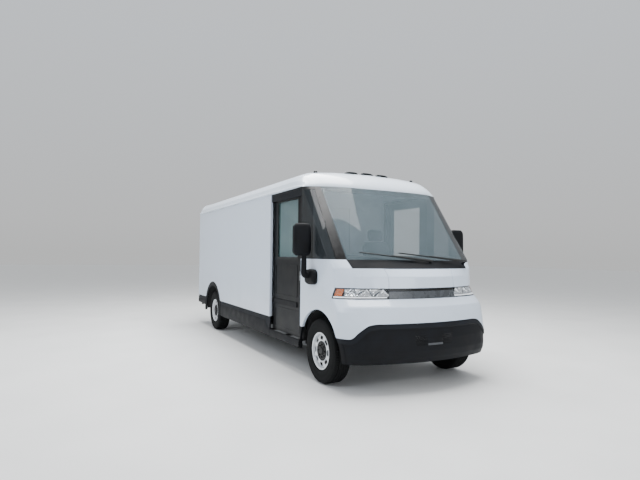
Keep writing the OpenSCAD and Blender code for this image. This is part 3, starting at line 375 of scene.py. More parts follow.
def turned(name, profile, centre, side, material, body, around=160, **rest):
    """Closed ring turned about a wheel's axis from (radius, outward) points taken round the section."""
    profile = np.asarray(profile, float)
    angle = np.linspace(0, 2 * np.pi, around, endpoint=False)[:, None]
    points = np.stack([
        centre[0] + profile[:, 0] * np.cos(angle), centre[1] + side * profile[:, 1] * np.ones_like(angle),
        centre[2] + profile[:, 0] * np.sin(angle)], -1)
    return make_mesh(name, points, grid_faces(around, len(profile), True, True), material, body, **rest)


def wheel_disc(name, centre, side, body):
    """Dished disc on a polar grid whose vertices are drawn onto eight window outlines."""
    around, rings = 384, 56
    b = bead_r - 0.017
    radius = np.concatenate([np.linspace(0.06, 0.11, 12), np.linspace(0.113, b - 0.004, rings - 12)])
    angle = np.linspace(0, 2 * np.pi, around, endpoint=False)
    dish = np.interp(radius, [0.06, 0.09, 0.112, 0.122, 0.15, 0.166, b - 0.014, b - 0.004],
                     [0.055, 0.058, 0.074, 0.082, 0.0845, 0.083, 0.074, 0.06])
    dish = np.convolve(np.pad(dish, 3, mode="edge"), np.ones(7) / 7, "valid")
    rr, aa = np.meshgrid(radius, angle, indexing="ij")
    step = np.pi / 4
    local = (aa + step / 2) % step - step / 2
    middle = 0.157
    u, v = (rr - middle) / 0.0225, local * middle / 0.036
    spread = (np.abs(u) ** 3.6 + np.abs(v * (1 + 0.12 * u)) ** 3.6) ** (1 / 3.6)
    near = np.abs(spread - 1) < 0.11
    pull = np.where(near, 1 / np.maximum(spread, 1e-6), 1.0)
    rr2, local2 = middle + (rr - middle) * pull, local * pull
    aa2 = aa + (local2 - local)
    spread = np.where(near, 1.0, spread)
    lip = 0.0045 * np.exp(-((spread - 1.12) / 0.12) ** 2) * (spread > 0.98)
    pad = 0.006 * np.exp(-((rr - 0.162) / 0.02) ** 2) * (spread > 1.0) * np.clip((np.abs(local) - 0.2) / 0.14, 0, 1)
    out = dish[:, None] + lip * 0.3 + pad
    face = np.stack([centre[0] + rr2 * np.cos(aa2), centre[1] + side * out, centre[2] + rr2 * np.sin(aa2)], -1)
    back = face.copy()
    back[..., 1] -= side * 0.006
    n = rr.size
    quads = grid_faces(rings, around, False, True)
    inside = (spread.reshape(-1)[quads] <= 1.0 + 1e-9).all(1)
    kept = quads[~inside]
    edges = np.concatenate([kept[:, [i, (i + 1) % 4]] for i in range(4)])
    key = edges[:, 0] * n + edges[:, 1]
    border = edges[~np.isin(key, edges[:, 1] * n + edges[:, 0])]
    rim = np.stack([border[:, 1], border[:, 0], border[:, 0] + n, border[:, 1] + n], -1)
    faces = np.concatenate([kept, kept[:, ::-1] + n, rim])
    used = np.unique(faces)
    index = np.zeros(2 * n, int)
    index[used] = np.arange(len(used))
    points = np.concatenate([face.reshape(-1, 3), back.reshape(-1, 3)])[used]
    return round_edges(make_mesh(name, points, index[faces], wheel_silver, body, slot="wheel_silver"), 0.0012, 2, 50)


def nut_points(centre, side, radius, low, high, ring, count, turn=0.0):
    """Points and faces of hexagonal nuts with domed tops, spaced round a ring."""
    points, faces = [], []
    for k in range(count):
        at = 2 * np.pi * k / count + turn
        cx, cz = centre[0] + ring * np.cos(at), centre[2] + ring * np.sin(at)
        hexagon = np.arange(6) * np.pi / 3 + at
        base = len(points)
        for scale, level in ((1, low), (1, high - 0.003), (0.72, high)):
            points += [(cx + radius * scale * np.cos(h), centre[1] + side * level, cz + radius * scale * np.sin(h))
                       for h in hexagon]
        faces += [[base + r * 6 + i, base + r * 6 + (i + 1) % 6, base + r * 6 + 6 + (i + 1) % 6, base + r * 6 + 6 + i]
                  for r in range(2) for i in range(6)]
        faces += [[base + i for i in range(6)][::-1], [base + 12 + i for i in range(6)]]
    return points, faces


def build_wheel(corner_name, x, side):
    centre = (x, side * wheel_y, tyre_r)
    node = f"wheel_{corner_name}"
    body = body_of(node)
    b = bead_r - 0.017
    barrel = rounded_line([
        (b - 0.004, -0.0975), (bead_r - 0.0005, -0.1005), (bead_r - 0.0005, -0.0965), (b + 0.0005, -0.092),
        (b + 0.0005, -0.036), (b - 0.0115, 0.008), (b + 0.0005, 0.034), (b + 0.0005, 0.092),
        (bead_r - 0.0005, 0.0965), (bead_r - 0.0005, 0.1005), (b + 0.006, 0.1008), (b - 0.004, 0.0975),
        (b - 0.0045, 0.05), (b - 0.0045, 0.03), (b - 0.0165, 0.008), (b - 0.0045, -0.04), (b - 0.004, -0.0972)],
        0.005, 1)
    turned(f"rim_{corner_name}", barrel, centre, side, wheel_silver, body, 200, replaces=[node], slot="wheel_silver")
    wheel_disc(f"wheel_disc_{corner_name}", centre, side, body)
    cover = rounded_line([
        (0.001, 0.095), (0.03, 0.0948), (0.043, 0.092), (0.047, 0.079), (0.052, 0.0775), (0.096, 0.0775),
        (0.107, 0.081), (0.112, 0.0855), (0.1155, 0.0855), (0.1155, 0.076), (0.09, 0.062),
        (0.034, 0.06), (0.034, 0.076), (0.001, 0.076)], 0.0035, 1)
    turned(f"hub_cover_{corner_name}", cover, centre, side, hub_black_and_wheel_shade, body, 128, slot="black_trim")
    points, faces = nut_points(centre, side, 0.0115, 0.075, 0.0925, 0.074, 8)
    round_edges(make_mesh(f"wheel_nuts_{corner_name}", points, faces, hub_black_and_wheel_shade, body, sharp=20), 0.0008, 2)
    spindle = 0.0305
    hub = resample([(spindle, -0.056), (0.062, -0.056), (0.062, -0.05), (0.168, -0.05), (0.168, -0.028),
                    (0.105, -0.028), (0.1, -0.02), (0.062, -0.016), (0.062, 0.036), (spindle, 0.036)], 0.004)
    made = turned(f"brake_disc_and_hub_{corner_name}", hub, centre, side, brake_iron, body, 128, slot="steel_dark")
    round_edges(made, 0.001, 2)
    # Drum face: a real part, drawn all black and reaching nearly to the rim, so it works as painted shade behind the
    # wheel windows.
    shade_disc_profile = rounded_line([(0.0623, 0.034), (0.094, 0.034), (0.1, 0.047), (b - 0.0095, 0.047),
                         (b - 0.0095, 0.0525), (0.096, 0.0525), (0.09, 0.04), (0.0623, 0.04)], 0.006, 1)
    turned(f"shade_black_drum_face_{corner_name}", shade_disc_profile, centre, side, hub_black_and_wheel_shade, body, 160, slot="steel_dark")


for corner_name, corner_x, corner_side in WHEEL_PLACES:
    build_wheel(corner_name, corner_x, corner_side)


# ---- Cargo sides, lining and trims ----
# Flat aluminium side sheets with the rear arch cut out, a fibreglass lining inside, and extruded edge trims:
# a bright post beside the door and a bright rail along the bottom.
def plate(name, loops, plane, lo, hi, material, body="truck", edge=0.0015, segments=3, **rest):
    """Flat plate of any outline with holes: loops are in (x, z), (y, z) or (x, y), lo and hi along the third axis."""
    curve = bpy.data.curves.new(name, "CURVE")
    curve.dimensions = "2D"
    curve.fill_mode = "BOTH"
    curve.extrude = (hi - lo) / 2
    for loop in loops:
        spline = curve.splines.new("POLY")
        spline.points.add(len(loop) - 1)
        spline.points.foreach_set("co", np.column_stack([loop, np.zeros(len(loop)), np.ones(len(loop))]).ravel())
        spline.use_cyclic_u = True
    holder = bpy.data.objects.new(name + "_outline", curve)
    mesh = bpy.data.meshes.new_from_object(holder)
    bpy.data.objects.remove(holder)
    bpy.data.curves.remove(curve)
    co = np.empty(len(mesh.vertices) * 3)
    mesh.vertices.foreach_get("co", co)
    a, b, c = co.reshape(-1, 3).T
    c = c + (lo + hi) / 2
    mesh.vertices.foreach_set("co", np.stack({"xz": (a, c, b), "yz": (c, a, b), "xy": (a, b, c)}[plane], -1).ravel())
    mesh.name = name
    made = finish_mesh(name, mesh, material, body, **rest)
    return round_edges(made, edge, segments) if edge else made


def rect(a0, a1, b0, b1, r=0.0, n=8):
    """Rounded rectangle as a loop of points."""
    a0, a1, b0, b1 = min(a0, a1), max(a0, a1), min(b0, b1), max(b0, b1)
    if r <= 0:
        return np.array([(a0, b0), (a1, b0), (a1, b1), (a0, b1)])
    t = np.linspace(0, np.pi / 2, n)
    corners = [(a1 - r, b1 - r, 0), (a0 + r, b1 - r, 1), (a0 + r, b0 + r, 2), (a1 - r, b0 + r, 3)]
    return np.array([(a + r * np.cos(s + k * np.pi / 2), b + r * np.sin(s + k * np.pi / 2))
                     for a, b, k in corners for s in t])


def box(name, x, y, z, material, body="truck", edge=0.002, r=0.0, **rest):
    """Block with rounded edges, drawn as a plate standing on z."""
    return plate(name, [rect(x[0], x[1], y[0], y[1], r)], "xy", z[0], z[1], material, body, edge, **rest)


def span(side, a, b):
    """Range along y for a piece between a and b out from the centre line, on either side."""
    return (a, b) if side > 0 else (-b, -a)


def side_word(side):
    return "left" if side > 0 else "right"


def arc(cx, cz, r, start, stop, n=64):
    t = np.radians(np.linspace(start, stop, n))
    return np.column_stack([cx + r * np.cos(t), cz + r * np.sin(t)])


rear_arch_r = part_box("arch_trims")[1][0] - rear_axle_x + 0.0006
trim_w = 0.08
side_rear_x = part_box("cargo_side_left")[0][0]


def arched(x0, x1, low, high, cx, r):
    """Panel outline in (x, z) with a round wheel arch cut out of its lower edge."""
    reach = math.sqrt(r ** 2 - (low - tyre_r) ** 2)
    start = math.degrees(math.atan2(low - tyre_r, -reach))
    round_part = arc(cx, tyre_r, r, start, math.degrees(math.atan2(low - tyre_r, reach)), 96)
    return np.concatenate([[(x0, low)], round_part, [(x1, low), (x1, high), (x0, high)]])


for s in (1, -1):
    word = side_word(s)
    outline = arched(side_rear_x, door_rear_x - 0.004, panel_low, gutter_z - 0.001, rear_axle_x, rear_arch_r)
    y0, y1 = span(s, side_y - 0.03, side_y)
    plate(f"cargo_sheet_{word}", [outline], "xz", y0, y1, white_paint, edge=0.003, slot="white_paint",
          replaces=[f"cargo_side_{word}"])
    lining = arched(side_rear_x, door_rear_x - 0.03, floor_z - 0.04, gutter_z - 0.001, rear_axle_x,
                    rear_arch_r - trim_w + 0.009)
    y0, y1 = span(s, side_y - 0.14, side_y - 0.128)
    plate(f"cargo_lining_{word}", [lining], "xz", y0, y1, lining_white, slot="roof_white")
    box(f"cargo_top_rail_{word}", (side_rear_x, door_rear_x), span(s, side_y - 0.127, side_y - 0.031),
        (gutter_z - 0.022, gutter_z - 0.001), alloy_trim, slot="roof_white")
    box(f"cargo_rear_post_{word}", (side_rear_x, side_rear_x + 0.03), span(s, side_y - 0.127, side_y - 0.031),
        (1.05, gutter_z - 0.023), alloy_trim, slot="roof_white")
    # Bright door post and bottom rail
    post = rect(door_rear_x - 0.034, door_rear_x, panel_low - 0.0005, gutter_z - 0.001, 0.003)
    y0, y1 = span(s, side_y - 0.032, side_y + 0.003)
    plate(f"door_post_trim_{word}", [post], "xz", y0, y1, white_paint, edge=0.002, slot="white_paint")
    for part, x0, x1 in (("front", rear_axle_x + rear_arch_r + 0.016, door_rear_x - 0.0345),
                         ("rear", side_rear_x, rear_axle_x - rear_arch_r - 0.016)):
        bar = rect(x0, x1, panel_low - 0.0004, panel_low + 0.034, 0.003)
        plate(f"bottom_rail_{part}_{word}", [bar], "xz", *span(s, side_y - 0.002, side_y + 0.0035), white_paint,
              edge=0.0015, slot="white_paint")
    # Inner door pillar between sheet and lining
    box(f"door_pillar_{word}", (door_rear_x - 0.03, door_rear_x - 0.001), span(s, side_y - 0.128, side_y - 0.097),
        (floor_z - 0.04, gutter_z - 0.023), door_grey, slot="black_trim")
    # Rows of flush rivets up the front and rear edges and along the top
    rivets, rivet_faces = [], []
    t = np.arange(12) * np.pi / 6
    spots = [(door_rear_x - 0.05, z) for z in np.arange(0.75, 2.38, 0.11)]
    spots += [(side_rear_x + 0.02, z) for z in np.arange(0.75, 2.38, 0.11)]
    spots += [(x, gutter_z - 0.02) for x in np.arange(side_rear_x + 0.1, door_rear_x - 0.08, 0.14)]
    for cx, cz in spots:
        start = len(rivets)
        for ring_r, level in ((0.0055, -0.001), (0.0052, 0.0009), (0.003, 0.0014)):
            rivets += [(cx + ring_r * math.cos(v), s * (side_y + level), cz + ring_r * math.sin(v)) for v in t]
        rivet_faces += [[start + k * 12 + i, start + k * 12 + (i + 1) % 12, start + k * 12 + 12 + (i + 1) % 12,
                         start + k * 12 + 12 + i] for k in range(2) for i in range(12)]
        rivet_faces += [[start + i for i in range(12)], [start + 35 - i for i in range(12)]]
    make_mesh(f"side_rivets_{word}", rivets, rivet_faces, white_paint, "truck", slot="white_paint")


# ---- Roof ----
# White gel-coated roof shell: a ledge above the cargo side, a rounded shoulder and a gently crowned top. At the
# front it is drawn down as a smooth cap to the top edge of the windshield. A drip rail runs along each side.
roof_rise = roof_z - gutter_z
ROOF_HALF = [
    (side_y, 0), (side_y, 0.03), (side_y - 0.02, 0.04), (side_y - 0.04, 0.39 * roof_rise),
    (side_y - 0.1, 0.68 * roof_rise), (side_y - 0.23, 0.857 * roof_rise), (side_y / 2, 0.957 * roof_rise),
    (0, roof_rise)]
ROOF_S = [0, 0.06, 0.1, 0.22, 0.36, 0.5, 0.76, 1]


def soft(z, table, radius=0.007):
    """Broken line through the table with its kinks rounded: the mean of nine samples within the radius."""
    heights, values = np.array(table, float).T
    return sum(np.interp(z + radius * k / 4, heights, values) for k in range(-4, 5)) / 9


def roof_at(s, d=0.0):
    """Place on the roof section, s from -1 on the right through 0 on top to 1 on the left, moved in by d."""
    t = 1 - np.abs(s)
    half = [(y - d * k, z - d * m) for (y, z), k, m in zip(
        ROOF_HALF, (1, 1, 1, 1, 0.8, 0.4, 0, 0), (0, 0, 0, 0, 0.6, 1, 1, 1))]
    rise = 0.004 + 0.024 * np.clip((t - 0.12) / 0.2, 0, 1)
    y = soft(t, [(a, p[0]) for a, p in zip(ROOF_S, half)] + [(1.2, -half[-2][0] * 0.83)], rise)
    z = soft(t, [(a, p[1]) for a, p in zip(ROOF_S, half)] + [(1.24, half[-2][1])], rise)
    return np.sign(s) * np.clip(y, 0, None) * (np.abs(s) > 0), np.clip(z, 0, None)


def closed_sheet(outer, inner):
    """Points and faces of the closed slab between two equal grids."""
    rows, columns = outer.shape[:2]
    n = rows * columns
    faces = grid_faces(rows, columns)
    ring = np.concatenate([
        np.arange(columns - 1), np.arange(rows - 1) * columns + columns - 1,
        n - 1 - np.arange(columns - 1), (rows - 1 - np.arange(rows - 1)) * columns])
    turned_ring = np.roll(ring, -1)
    rim = np.stack([turned_ring, ring, ring + n, turned_ring + n], -1)
    points = np.concatenate([outer.reshape(-1, 3), inner.reshape(-1, 3)])
    return points, np.concatenate([faces, faces[:, ::-1] + n, rim])


def roof_grid(d):
    s = np.sin(np.linspace(-np.pi / 2, np.pi / 2, 181)) * 0.35 + np.linspace(-1, 1, 181) * 0.65
    x, ss = np.meshgrid(np.linspace(rear_x, cap_x - 0.002, 24), s, indexing="ij")
    y, z = roof_at(ss, d)
    return np.stack([x, y, gutter_z + z], -1)


roof_shell = make_mesh("roof_shell", *closed_sheet(roof_grid(0), roof_grid(0.024)), roof_paint, "truck",
                       ["roof_panel"], 40, "roof_white")
round_edges(roof_shell, 0.0025, 3, 50)

nose_fo = nose_x
NOSE = [
    (0.335, nose_fo - 0.045), (0.4, nose_fo - 0.008), (0.47, nose_fo), (0.6, nose_fo - 0.012),
    (0.777, nose_fo - 0.052), (0.955, nose_fo - 0.1), (1.04, nose_fo - 0.19), (1.16, nose_fo - 0.19),
    (1.29, nose_fo - 0.205), (1.382, nose_fo - 0.29), (belt_z, nose_fo - 0.435), (gutter_z, nose_fo - 1.12)]


def skin_plan(u, z):
    """Plan place for (u, z): a falling curve across the front, a quadratic corner and a straight side."""
    a = np.abs(u)
    bow2 = soft(z, [(0.3, 0.2), (1.04, 0.2), (1.16, 0.27), (1.29, 0.27), (belt_z, 0.03), (3, 0.03)])
    bow6 = soft(z, [(0.3, 0), (1.29, 0), (belt_z, 0.14), (3, 0.14)])
    y1 = skin_y * soft(z, [(0.3, 0.744), (1.29, 0.744), (belt_z, 0.8), (3, 0.8)])
    ys = skin_y - soft(z, [(0.2, 0.03), (0.335, 0.03), (0.622, 0), (3, 0)])
    end = soft(z, [(0.2, 0.43), (0.9, 0.43), (1.16, 0.12), (belt_z, 0.25), (gutter_z, -0.46)])
    crown = soft(z, NOSE)
    x1 = crown - bow2 * y1 ** 2 - bow6 * y1 ** 6
    xc = x1 - (2 * bow2 * y1 + 6 * bow6 * y1 ** 5) * (ys - y1)
    s = np.clip(a - 1, 0, 1)
    y_front = np.minimum(a, 1) * y1
    x_front = crown - bow2 * y_front ** 2 - bow6 * y_front ** 6
    y_corner = (1 - s) ** 2 * y1 + 2 * s * (1 - s) * ys + s ** 2 * ys
    x_corner = (1 - s) ** 2 * x1 + 2 * s * (1 - s) * xc + s ** 2 * end
    x_side = end + (door_front_x - axle_x - end) * np.clip(a - 2, 0, 1.1)
    x = np.where(a <= 1, x_front, np.where(a <= 2, x_corner, x_side))
    y = np.where(a <= 1, y_front, np.where(a <= 2, y_corner, ys))
    return axle_x + x, np.where(u < 0, -y, y)


def skin(u, z, depth=0.0):
    """Skin place moved in by depth, square to the plan, as an array of x, y, z."""
    u, z, depth = np.broadcast_arrays(np.asarray(u, float), np.asarray(z, float), np.asarray(depth, float))
    e = 0.004
    m = np.clip(u, e - 3, 3 - e)
    xa, ya = skin_plan(m - e, z)
    xb, yb = skin_plan(m + e, z)
    x, y = skin_plan(u, z)
    run = np.hypot(xb - xa, yb - ya)
    return np.stack([x - (yb - ya) / run * depth, y + (xb - xa) / run * depth, z], -1)


def u_at(x, z):
    """Value of u at a distance x ahead of the front axle, by halving the range."""
    x, z = np.broadcast_arrays(np.asarray(x, float), np.asarray(z, float))
    lo, hi = np.zeros(x.shape), np.full(x.shape, 3.0)
    for _ in range(24):
        mid = (lo + hi) / 2
        ahead = skin_plan(mid, z)[0] - axle_x > x
        lo, hi = np.where(ahead, mid, lo), np.where(ahead, hi, mid)
    return (lo + hi) / 2


def cap_at(s, v, d=0.0):
    """Place on the roof cap: v runs from 0 at the roof to 1 at the windshield."""
    s, v = np.broadcast_arrays(np.asarray(s, float), np.asarray(v, float))
    y, z = roof_at(s, d)
    f = skin(2 * s, np.full(s.shape, gutter_z), d)
    lift = np.clip(1 - v ** 2.6, 0, None) ** 0.66
    return np.stack([cap_x + (f[..., 0] - cap_x) * v, y + (f[..., 1] - y) * v ** 1.6, gutter_z + z * lift], -1)


def cap_grid(d):
    s = np.sin(np.linspace(-np.pi / 2, np.pi / 2, 161)) * 0.35 + np.linspace(-1, 1, 161) * 0.65
    v = 1 - (1 - np.linspace(0, 1, 61)) ** 1.6
    ss, vv = np.meshgrid(s * 0.9995, v, indexing="ij")
    return cap_at(ss, vv, d)


roof_cap = make_mesh("roof_cap_shell", *closed_sheet(cap_grid(0), cap_grid(0.022)), roof_paint, "truck",
                     ["roof_cap"], 50, "roof_white")
round_edges(roof_cap, 0.002, 2, 60)

# Drip rails: a thin lip that throws the rain clear of each side
for s in (1, -1):
    lip = np.array([(side_y - 0.002, 0.006), (side_y + 0.007, 0.004), (side_y + 0.009, 0.012),
                    (side_y + 0.0065, 0.013),
                    (side_y + 0.005, 0.008), (side_y - 0.002, 0.011)])
    x = np.linspace(rear_x, cap_x - 0.004, 12)
    points = np.stack([np.repeat(x, len(lip)), s * np.tile(lip[:, 0], 12), gutter_z + np.tile(lip[:, 1], 12)], -1)
    faces = grid_faces(12, len(lip), False, True).tolist()
    faces += [list(range(len(lip))), list(range(11 * len(lip), 12 * len(lip)))[::-1]]
    rail = make_mesh(f"drip_rail_{side_word(s)}", points, faces, roof_paint, "truck", sharp=30, slot="roof_white")
    round_edges(rail, 0.0008, 2)

# Marker lamps: smoked lenses on thin pads, one near each shoulder and a row of three in the middle
for index, (s, half_s, depth_v) in enumerate([(-0.46, 0.016, 0.03), (0.46, 0.016, 0.03), (-0.12, 0.05, 0.022),
                                              (0, 0.05, 0.022), (0.12, 0.05, 0.022)]):
    a, b = np.meshgrid(np.linspace(-1, 1, 25), np.linspace(-1, 1, 17), indexing="ij")
    top = cap_at(s + half_s * a, 0.43 + depth_v * b, 0.0)
    rise = 0.028 * np.clip(1 - np.abs(a) ** 4, 0, 1) ** 0.5 * np.clip(1 - np.abs(b) ** 3, 0, 1) ** 0.5
    lens = top + np.stack([rise * 0.1, rise * 0, rise + 0.001], -1)
    under = cap_at(s + half_s * a, 0.43 + depth_v * b, 0.002)
    make_mesh(f"marker_lamp_{index}", *closed_sheet(lens, under), smoked_lens, "truck",
              ["marker_lamps"] if index == 0 else [], 50, "lamp_dark")


# ---- Cab outer panels ----
# Pressed hood, fenders and fascia in body paint, all cut from the one skin with even shut lines and rolled edges.
gap = 0.002
hood_u = 0.6
cowl_u = 1.065
glass_u = 1.05
hood_hi = belt_z - 0.1
strip_lo, strip_hi = 1.04, 1.16
lamp_front_x = 0.332
arch_x = 0.025
arch_r = 0.499
cheek_z = 0.615
fender_low = 0.622
quarter_top = gutter_z - 0.04


def blend_to(a, b, t):
    return a + (b - a) * t


def skin_panel(name, place, columns, rows, material, body="truck", thick=0.006, depth=None, edge=0.0022,
               angle=50, **rest):
    """Closed panel of the skin: place(a, b) gives u and z over the unit square, depth(a, b) pushes it in."""
    a, b = np.meshgrid(np.linspace(0, 1, columns), np.linspace(0, 1, rows), indexing="ij")
    u, z = place(a, b)
    push = depth(a, b) if callable(depth) else (depth or 0.0)
    points, faces = closed_sheet(skin(u, z, push), skin(u, z, push + thick))
    made = make_mesh(name, points, faces, material, body, sharp=50, **rest)
    return round_edges(made, edge, 3, angle) if edge else made


def pillar_u(z):
    return np.interp(z, [belt_z, gutter_z], [1.38, 1.26])


def arch_z(x):
    """Height of the front wheel arch at x ahead of the axle, 0 outside it."""
    reach = np.clip(arch_r ** 2 - (x - arch_x) ** 2, 0, None)
    return np.where(reach > 0, tyre_r + np.sqrt(reach), 0.0)


def nose_end_u(z):
    """Side end of the fascia and bumper: the wheel arch below, straight up behind the lamp above it."""
    on_arch = arch_x + np.sqrt(np.clip(arch_r ** 2 - (z - tyre_r) ** 2, 0, None))
    return u_at(np.where(z > arch_z(np.array(lamp_front_x)), lamp_front_x, on_arch), z)


def bumper_line(t):
    """Height of the joint between the white fascia and the black bumper."""
    return soft(np.abs(t), [(0, 0.777), (0.455, 0.777), (0.73, cheek_z), (1.2, cheek_z)], 0.05)


# Hood, lifted from its front edge: a crease runs across it at the height of the fender shoulder
skin_panel("hood_panel", lambda a, b: ((2 * a - 1) * (hood_u - 0.005), blend_to(strip_hi + gap, hood_hi - gap, b)),
           90, 44, white_paint, "hood", replaces=["hood"], slot="white_paint")

for s in (1, -1):
    word = side_word(s)

    def brow(a, b):
        z = blend_to(strip_hi + gap, hood_hi - gap, b)
        return s * blend_to(hood_u + 0.0015, cowl_u + 0.003, a), z

    def corner(a, b):
        z = blend_to(strip_hi + gap, belt_z - gap, b)
        return s * blend_to(cowl_u + 0.003, u_at(np.full(z.shape, lamp_front_x), z), a), z

    def flank(a, b):
        x = blend_to(lamp_front_x, door_front_x - axle_x, a)
        z = blend_to(np.maximum(fender_low, arch_z(x)), belt_z - gap, b)
        return s * u_at(x, z), z

    for part, place, columns, rows in (("brow", brow, 40, 44), ("corner", corner, 40, 60), ("flank", flank, 110, 84)):
        a, b = np.meshgrid(np.linspace(0, 1, columns), np.linspace(0, 1, rows), indexing="ij")
        u, z = place(a, b)
        piece = make_mesh(f"fender_{part}_{word}", *closed_sheet(skin(u, z), skin(u, z, 0.006)), white_paint,
                          "truck", ["front_fenders"] if part == "brow" else [], 50, "white_paint")
        round_edges(piece, 0.0022, 3, 60)

    # Rolled flange of the wheel arch, turned in behind the opening
    start, stop = math.degrees(math.asin((fender_low - tyre_r) / arch_r)), 180 - math.degrees(
        math.asin((fender_low - tyre_r) / arch_r))
    t = np.radians(np.linspace(start, stop, 120))
    section = np.array([(0.001, 0.0), (0.004, -0.001), (0.004, -0.03), (0.0012, -0.03), (0.001, -0.008)])
    ax = arch_x + (arch_r + section[:, 0]) * np.cos(t)[:, None]
    az = tyre_r + (arch_r + section[:, 0]) * np.sin(t)[:, None]
    outer_y = skin(u_at(np.clip(ax, None, lamp_front_x + 0.2), az), az)[..., 1]
    points = np.stack([axle_x + ax, s * (outer_y - 0.001 + section[:, 1]), az], -1)
    faces = grid_faces(120, 5, False, True).tolist() + [list(range(5)), list(range(595, 600))[::-1]]
    make_mesh(f"arch_flange_{word}", points, faces, white_paint, "truck", slot="white_paint")


def fascia(a, b):
    t = 2 * a - 1
    low = bumper_line(t) + gap
    z = blend_to(low, strip_lo - gap, b)
    return t * (nose_end_u(z) - 0.004), z


skin_panel("fascia_panel", fascia, 221, 40, white_paint, replaces=["front_fascia"], slot="white_paint")


# ---- Bumper ----
# Charcoal moulded bumper: a lighter border band along the top and cheeks, a darker inset face, two clusters of
# small diamond vents, a plain bar between them and a thin lower air dam.
def bumper(a, b):
    t = 2 * a - 1
    z = blend_to(0.336, bumper_line(t) - gap, b)
    return t * (nose_end_u(z) - 0.002), z


def bumper_depth(a, b):
    """The face lies 9 mm behind the border band, with a soft step."""
    t = 2 * a - 1
    top = bumper_line(t)
    below = (top - 0.336) * (1 - b)
    side_room = (1 - np.abs(t)) * 1.3
    step = np.clip((below - 0.05) / 0.012, 0, 1) * np.clip((side_room - 0.1) / 0.02, 0, 1)
    return 0.009 * step * step * (3 - 2 * step)


skin_panel("bumper_shell", bumper, 221, 66, black_trim, thick=0.008, depth=bumper_depth, edge=0.003,
                          replaces=["front_bumper"], slot="black_trim")


def bumper_band(a, b):
    t = 2 * a - 1
    z = blend_to(bumper_line(t) - 0.05, bumper_line(t) - gap - 0.004, b)
    return t * (nose_end_u(z) - 0.003), z


skin_panel("bumper_border_band", bumper_band, 321, 9, cladding, thick=0.004, depth=-0.0015, edge=0.0015, angle=40,
           slot="black_trim")

bar_grey = finish("grey_satin_plastic", "#3b3e42", "#45484c", 60, 2, 0.08, (0.35, 0.5))
vents, vent_faces = [], []
cells = [(sign * (0.115 + 0.026 * i + 0.013 * (j % 2)), 0.54 + 0.019 * j)
         for sign in (1, -1) for j in range(6) for i in range(6)]
centre_y = np.array([c[0] for c in cells])
centre_z = np.array([c[1] for c in cells])
for spread, depth in ((1.0, 0.0065), (0.86, 0.0045), (0.7, 0.0075)):
    for dy, dz in ((-1, 0), (0, -1), (1, 0), (0, 1)):
        y, z = centre_y + 0.0105 * spread * dy, centre_z + 0.0078 * spread * dz
        vents.append(skin(y / (0.744 * skin_y), z, depth))
n = len(cells)
for ring in range(2):
    for k in range(4):
        q = (k + 1) % 4
        vent_faces.append(np.stack([np.arange(n) + (ring * 4 + k) * n, np.arange(n) + (ring * 4 + q) * n,
                                    np.arange(n) + (ring * 4 + 4 + q) * n, np.arange(n) + (ring * 4 + 4 + k) * n], -1))
vent_faces.append(np.stack([np.arange(n) + (8 + k) * n for k in range(4)], -1))
vent_faces.append(np.stack([np.arange(n) + k * n for k in (3, 2, 1, 0)], -1))
make_mesh("bumper_vents", np.concatenate(vents), np.concatenate(vent_faces), gloss_black, "truck", sharp=10,
          slot="black_trim")
skin_panel("bumper_bar", lambda a, b: ((2 * a - 1) * 0.13, blend_to(0.532, 0.55, b)), 21, 9, bar_grey, thick=0.006,
           depth=0.002, edge=0.002, slot="black_trim")
for s in (1, -1):
    for y in (0.12, 0.42):
        x1 = axle_x + nose_x - 0.02 - 0.2 * (y + 0.016) ** 2
        box(f"bumper_bracket_{side_word(s)}_{round(y * 1000)}", (axle_x + 0.741, x1), span(s, y, y + 0.016),
            (0.44, 0.54), frame_black, slot="frame_black")
y = np.concatenate([[-0.56], np.linspace(-0.56, 0.56, 12), [0.56]])
x = np.concatenate([[axle_x + 0.7], axle_x + nose_x - 0.1 - 0.2 * np.linspace(-0.56, 0.56, 12) ** 2, [axle_x + 0.7]])
plate("bumper_air_dam", [np.column_stack([x, y])], "xy", 0.335, 0.341, cladding, slot="black_trim")


# ---- Cowl, windshield and pillars ----
# A black moulded cowl with fine louvres under the glass, one raked curved windshield with a dark printed border,
# gloss-black pillars and small fixed quarter panes.
def cowl_depth(a, b):
    """Louvres: shallow ripples across the middle of the cowl."""
    t = np.abs(2 * a - 1)
    window = np.clip((0.9 - t) / 0.04, 0, 1) * np.clip(b / 0.12, 0, 1) * np.clip((1 - b) / 0.12, 0, 1)
    return 0.0022 * window * (0.5 - 0.5 * np.cos(2 * np.pi * b * 7))


